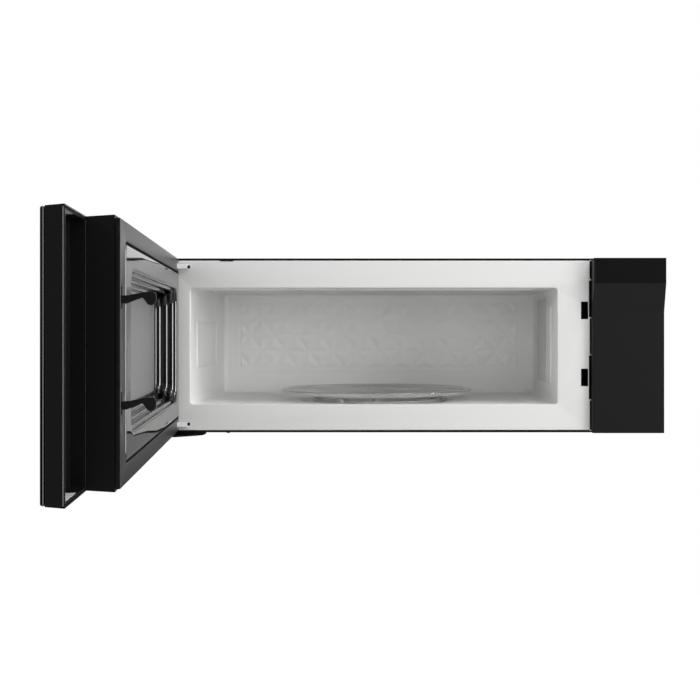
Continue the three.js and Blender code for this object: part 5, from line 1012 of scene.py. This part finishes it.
cover_outlines = [cover_outline(),
                  rectangle_at(PANEL_U[0] - BEAD_WIDTH, PANEL_U[1] + BEAD_WIDTH,
                               door_middle - panel_half_z - BEAD_WIDTH,
                               door_middle + panel_half_z + BEAD_WIDTH, PANEL_CORNER + BEAD_WIDTH, 8)]
for height in HOOKS:
    cover_outlines.append(rectangle_at(*HOOK_SLOT, height - HOOK_SLOT_BELOW, height + HOOK_SLOT_ABOVE,
                                       HOOK_SLOT_CORNER, 3))
sheet_with_holes("cover_ring", cover_outlines, cover_high[1] - cover_low[1], 0.6 * MM, etched_abs,
                 on_door(1, cover_low[1]), "door", "black_plastic", "choke_cover")
# The bead's near-black finish is painted shade for the dark line round the panel.
cover_bead = surface("cover_bead", bead_points(), black_and_painted_shade, close_rows=True)
place(cover_bead, "door", "black_plastic", "choke_cover")

# %% [markdown]
# The door's free end is a deep flange that doubles as a hand hold. The returns at its top and
# bottom show grey primer, since the black coat doesn't reach them, and a black sheet of painted
# shade lines its hollow. Thin painted highlights run where the glass meets the frame, along the
# frame's rear edge and along the rim's top edge, and the rim has bands of painted shade at its
# top and bottom. Each is a thin sheet laid on the door.

# %% The door's free end
FRAME_TAPER = 1.75 * MM
FRAME_FLANGE = 3 * MM
RETURN_GAP = 0.4 * MM
HOLD_SHADE_GAP = 1.2 * MM
HOLD_SHADE_V = -36.25 * MM
END_HIGHLIGHT_HALF = 129.5 * MM
BAND_SINK = 0.15 * MM
RETURNS = (("hand_hold_return_top", 1, 706 * MM), ("hand_hold_return_bottom", -1, 690 * MM))
END_HIGHLIGHTS = (("glass_edge_highlight", -40.2 * MM, -39.4 * MM, 747.35 * MM),
             ("frame_edge_highlight", -23.3 * MM, -22.5 * MM, 747.9 * MM))
FLANGE_SHADE_AND_HIGHLIGHT = (("flange_shade_band_top", 128.9 * MM, 131.1 * MM, black_and_painted_shade),
                ("flange_highlight_top", 131.3 * MM, 132.1 * MM, edge_highlight_paint),
                ("flange_shade_band_bottom", -130.2 * MM, -127.0 * MM, black_and_painted_shade))
hold_half = (frame_high[2] - frame_low[2]) / 2 - FRAME_TAPER - FRAME_FLANGE

for name, side, reach in RETURNS:
    outline = rectangle_at(reach, frame_high[0] - FRAME_FLANGE - 0.3 * MM,
                           frame_low[1] + FRAME_FLANGE, frame_high[1] - 0.8 * MM, 0.5 * MM, 2)
    sheet_with_holes(name, [outline], 0.6 * MM, 0.15 * MM, grey_primer,
                     on_door(2, door_middle + side * (hold_half - RETURN_GAP)), "door", "black_paint")

# A black sheet in the hand hold's hollow: painted shade for the dark recess.
hold_shade_half = hold_half - HOLD_SHADE_GAP
hold_shade_outline = rectangle_at(cover_high[0] + 4 * MM, frame_high[0] - FRAME_FLANGE - 0.6 * MM,
                              door_middle - hold_shade_half, door_middle + hold_shade_half, 1 * MM, 3)
sheet_with_holes("hand_hold_shade_sheet", [hold_shade_outline], 0.4 * MM, 0.1 * MM, black_and_painted_shade,
                 on_door(1, HOLD_SHADE_V), "door", "black_paint")

# Painted highlights on the door's end: thin grey lines where the glass and the frame catch the light.
for name, low_v, high_v, highlight_u in END_HIGHLIGHTS:
    outline = rectangle_at(low_v, high_v, door_middle - END_HIGHLIGHT_HALF, door_middle + END_HIGHLIGHT_HALF,
                           0.3 * MM, 2)
    sheet_with_holes(name, [outline], 0.3 * MM, 0.08 * MM, edge_highlight_paint, on_door(0, highlight_u),
                     "door", "black_paint")

# Bands of painted shade at the rim's top and bottom, and a painted highlight line along its top edge.
for name, low_z, high_z, material in FLANGE_SHADE_AND_HIGHLIGHT:
    outline = rectangle_at(cover_high[0] + 6 * MM, frame_high[0] - 0.8 * MM, low_z, high_z, 0.2 * MM, 2)
    sheet_with_holes(name, [outline], 0.3 * MM, 0.06 * MM, material,
                     on_door(1, frame_high[1] - BAND_SINK), "door", "black_paint")

# %% [markdown]
# ## The glass tray
#
# Pressed glass, turned from one profile: a flat middle, a long shallow slope and a steep rim
# with a rolled edge. It is all one closed loop of points about the axis.

# %% The tray
TRAY_RADIUS = (tray_high.x - tray_low.x) / 2
TRAY_FLAT = TRAY_RADIUS - 52 * MM
TRAY_GLASS = 3.2 * MM
TRAY_EASING = 1.6 * MM


def tray_profile():
    """Half of the tray's section, from the axis under it, round the rim, back to the axis."""
    r = TRAY_RADIUS
    rim = tray_high.z - tray_low.z
    under = [(0, 0), (TRAY_FLAT, 0), (r - 4.5 * MM, 4.6 * MM), (r - 1 * MM, 6.6 * MM), (r, 9.5 * MM)]
    over = [(r, rim - 1.4 * MM), (r - 1.6 * MM, rim), (r - 3.8 * MM, rim - 0.8 * MM),
            (r - 5.6 * MM, 11.5 * MM), (r - 10 * MM, 8.4 * MM), (TRAY_FLAT, TRAY_GLASS), (0, TRAY_GLASS)]
    return eased(under + over, TRAY_EASING, 4)


tray_points = revolved(tray_profile(), 160) + [TRAY_X, TRAY_Y, tray_low.z]
glass_tray = surface("glass_tray_pressed", tray_points, tray_glass)
place(glass_tray, "turntable", "tray_glass", "glass_tray")

# %% [markdown]
# ## Light and surroundings
#
# The oven hangs in a white studio. A lens sees the background as white, but what the oven
# sees is uneven, and its blacks show it: the room behind the camera is dark, which is what
# the flat faces mirror, and low down it is dark too. The Light Path node's camera ray tells
# the two apart, for the world and for the floor.

# %% Floor and world
FLOOR_Z = -2.6
FLOOR_REACH = 9
floor_mesh = bpy.data.meshes.new("floor")
floor_corners = [(FLOOR_REACH * x, FLOOR_REACH * y, FLOOR_Z) for x, y in [(-1, -1), (1, -1), (1, 1), (-1, 1)]]
floor_mesh.from_pydata(floor_corners, [], [(0, 1, 2, 3)])
floor = bpy.data.objects.new("floor", floor_mesh)
bpy.context.scene.collection.objects.link(floor)
floor_paint = finish("pale_studio_floor", "#c8c8c8", 0.9, Emission_Color=(1, 1, 1, 1))
link(floor_paint, add(floor_paint, "LightPath").outputs["Is Camera Ray"], "Emission Strength")
floor_mesh.materials.append(floor_paint)

world = bpy.data.worlds.new("studio")
world.use_nodes = True
bpy.context.scene.world = world
background = world.node_tree.nodes["Background"]
direction = add(world, "TexCoord").outputs["Generated"]
split = add(world, "SeparateXYZ", {"Vector": direction})
front_share = add(world, "MapRange", {"Value": split.outputs["Y"], "From Min": -0.95, "From Max": -0.35,
                                      "To Min": 0.15, "To Max": 1.0})
low_share = add(world, "MapRange", {"Value": split.outputs["Z"], "From Min": -0.07, "From Max": 0.0,
                                    "To Min": 0.25, "To Max": 1.0})
room = add(world, "Math", {0: front_share.outputs["Result"], 1: low_share.outputs["Result"]},
           operation="MULTIPLY")
seen = add(world, "LightPath").outputs["Is Camera Ray"]
strength = add(world, "Mix", {"Factor": seen, 2: room.outputs["Value"], 3: 1.0})
world.node_tree.links.new(strength.outputs[0], background.inputs["Strength"])
background.inputs["Color"].default_value = (1, 1, 1, 1)
print(f"floor {-FLOOR_Z} m below the oven's middle; world nodes: {len(world.node_tree.nodes)}")

# %% [markdown]
# A wide light beside the camera fills the cavity, and a softbox at the right lights its left
# wall. Neither shows in mirror reflections, as a polarised lamp doesn't, so they don't grey
# the blacks. The tall strip at the right lights nothing matt and only draws bright lines on
# rounded edges. Two weak softboxes, left and above, give the door and the top some form.

# %% Lights
LIGHT_AIM = (0, -0.4, 0)


def softbox(name, place_m, size, power, mirrored=True, lighting=True):
    """A rectangular area light that faces the oven. One that isn't mirrored shows in no gloss,
    and one that isn't lighting shows in gloss alone, as a far strip does."""
    data = bpy.data.lights.new(name, "AREA")
    data.shape = "RECTANGLE"
    data.size, data.size_y = size
    data.energy = power
    light = bpy.data.objects.new(name, data)
    light.location = place_m
    light.rotation_euler = (Vector(LIGHT_AIM) - Vector(place_m)).to_track_quat("-Z", "Y").to_euler()
    light.visible_glossy = mirrored
    light.visible_diffuse = lighting
    bpy.context.scene.collection.objects.link(light)
    print(f"{name}: {power} W")


softbox("front_fill", (-0.35, -3.3, 0.0), (4.0, 2.0), 48, mirrored=False)
softbox("right_softbox", (2.2, -2.4, 0.4), (1.2, 1.2), 30, mirrored=False)
softbox("edge_strip", (2.4, -0.9, 0.3), (0.7, 1.6), 110, lighting=False)
softbox("left_softbox", (-2.3, -2.0, 1.0), (1.4, 1.4), 13)
softbox("top_softbox", (0.9, -1.2, 1.6), (1.2, 0.6), 20)

bpy.context.scene.view_settings.view_transform = "Standard"
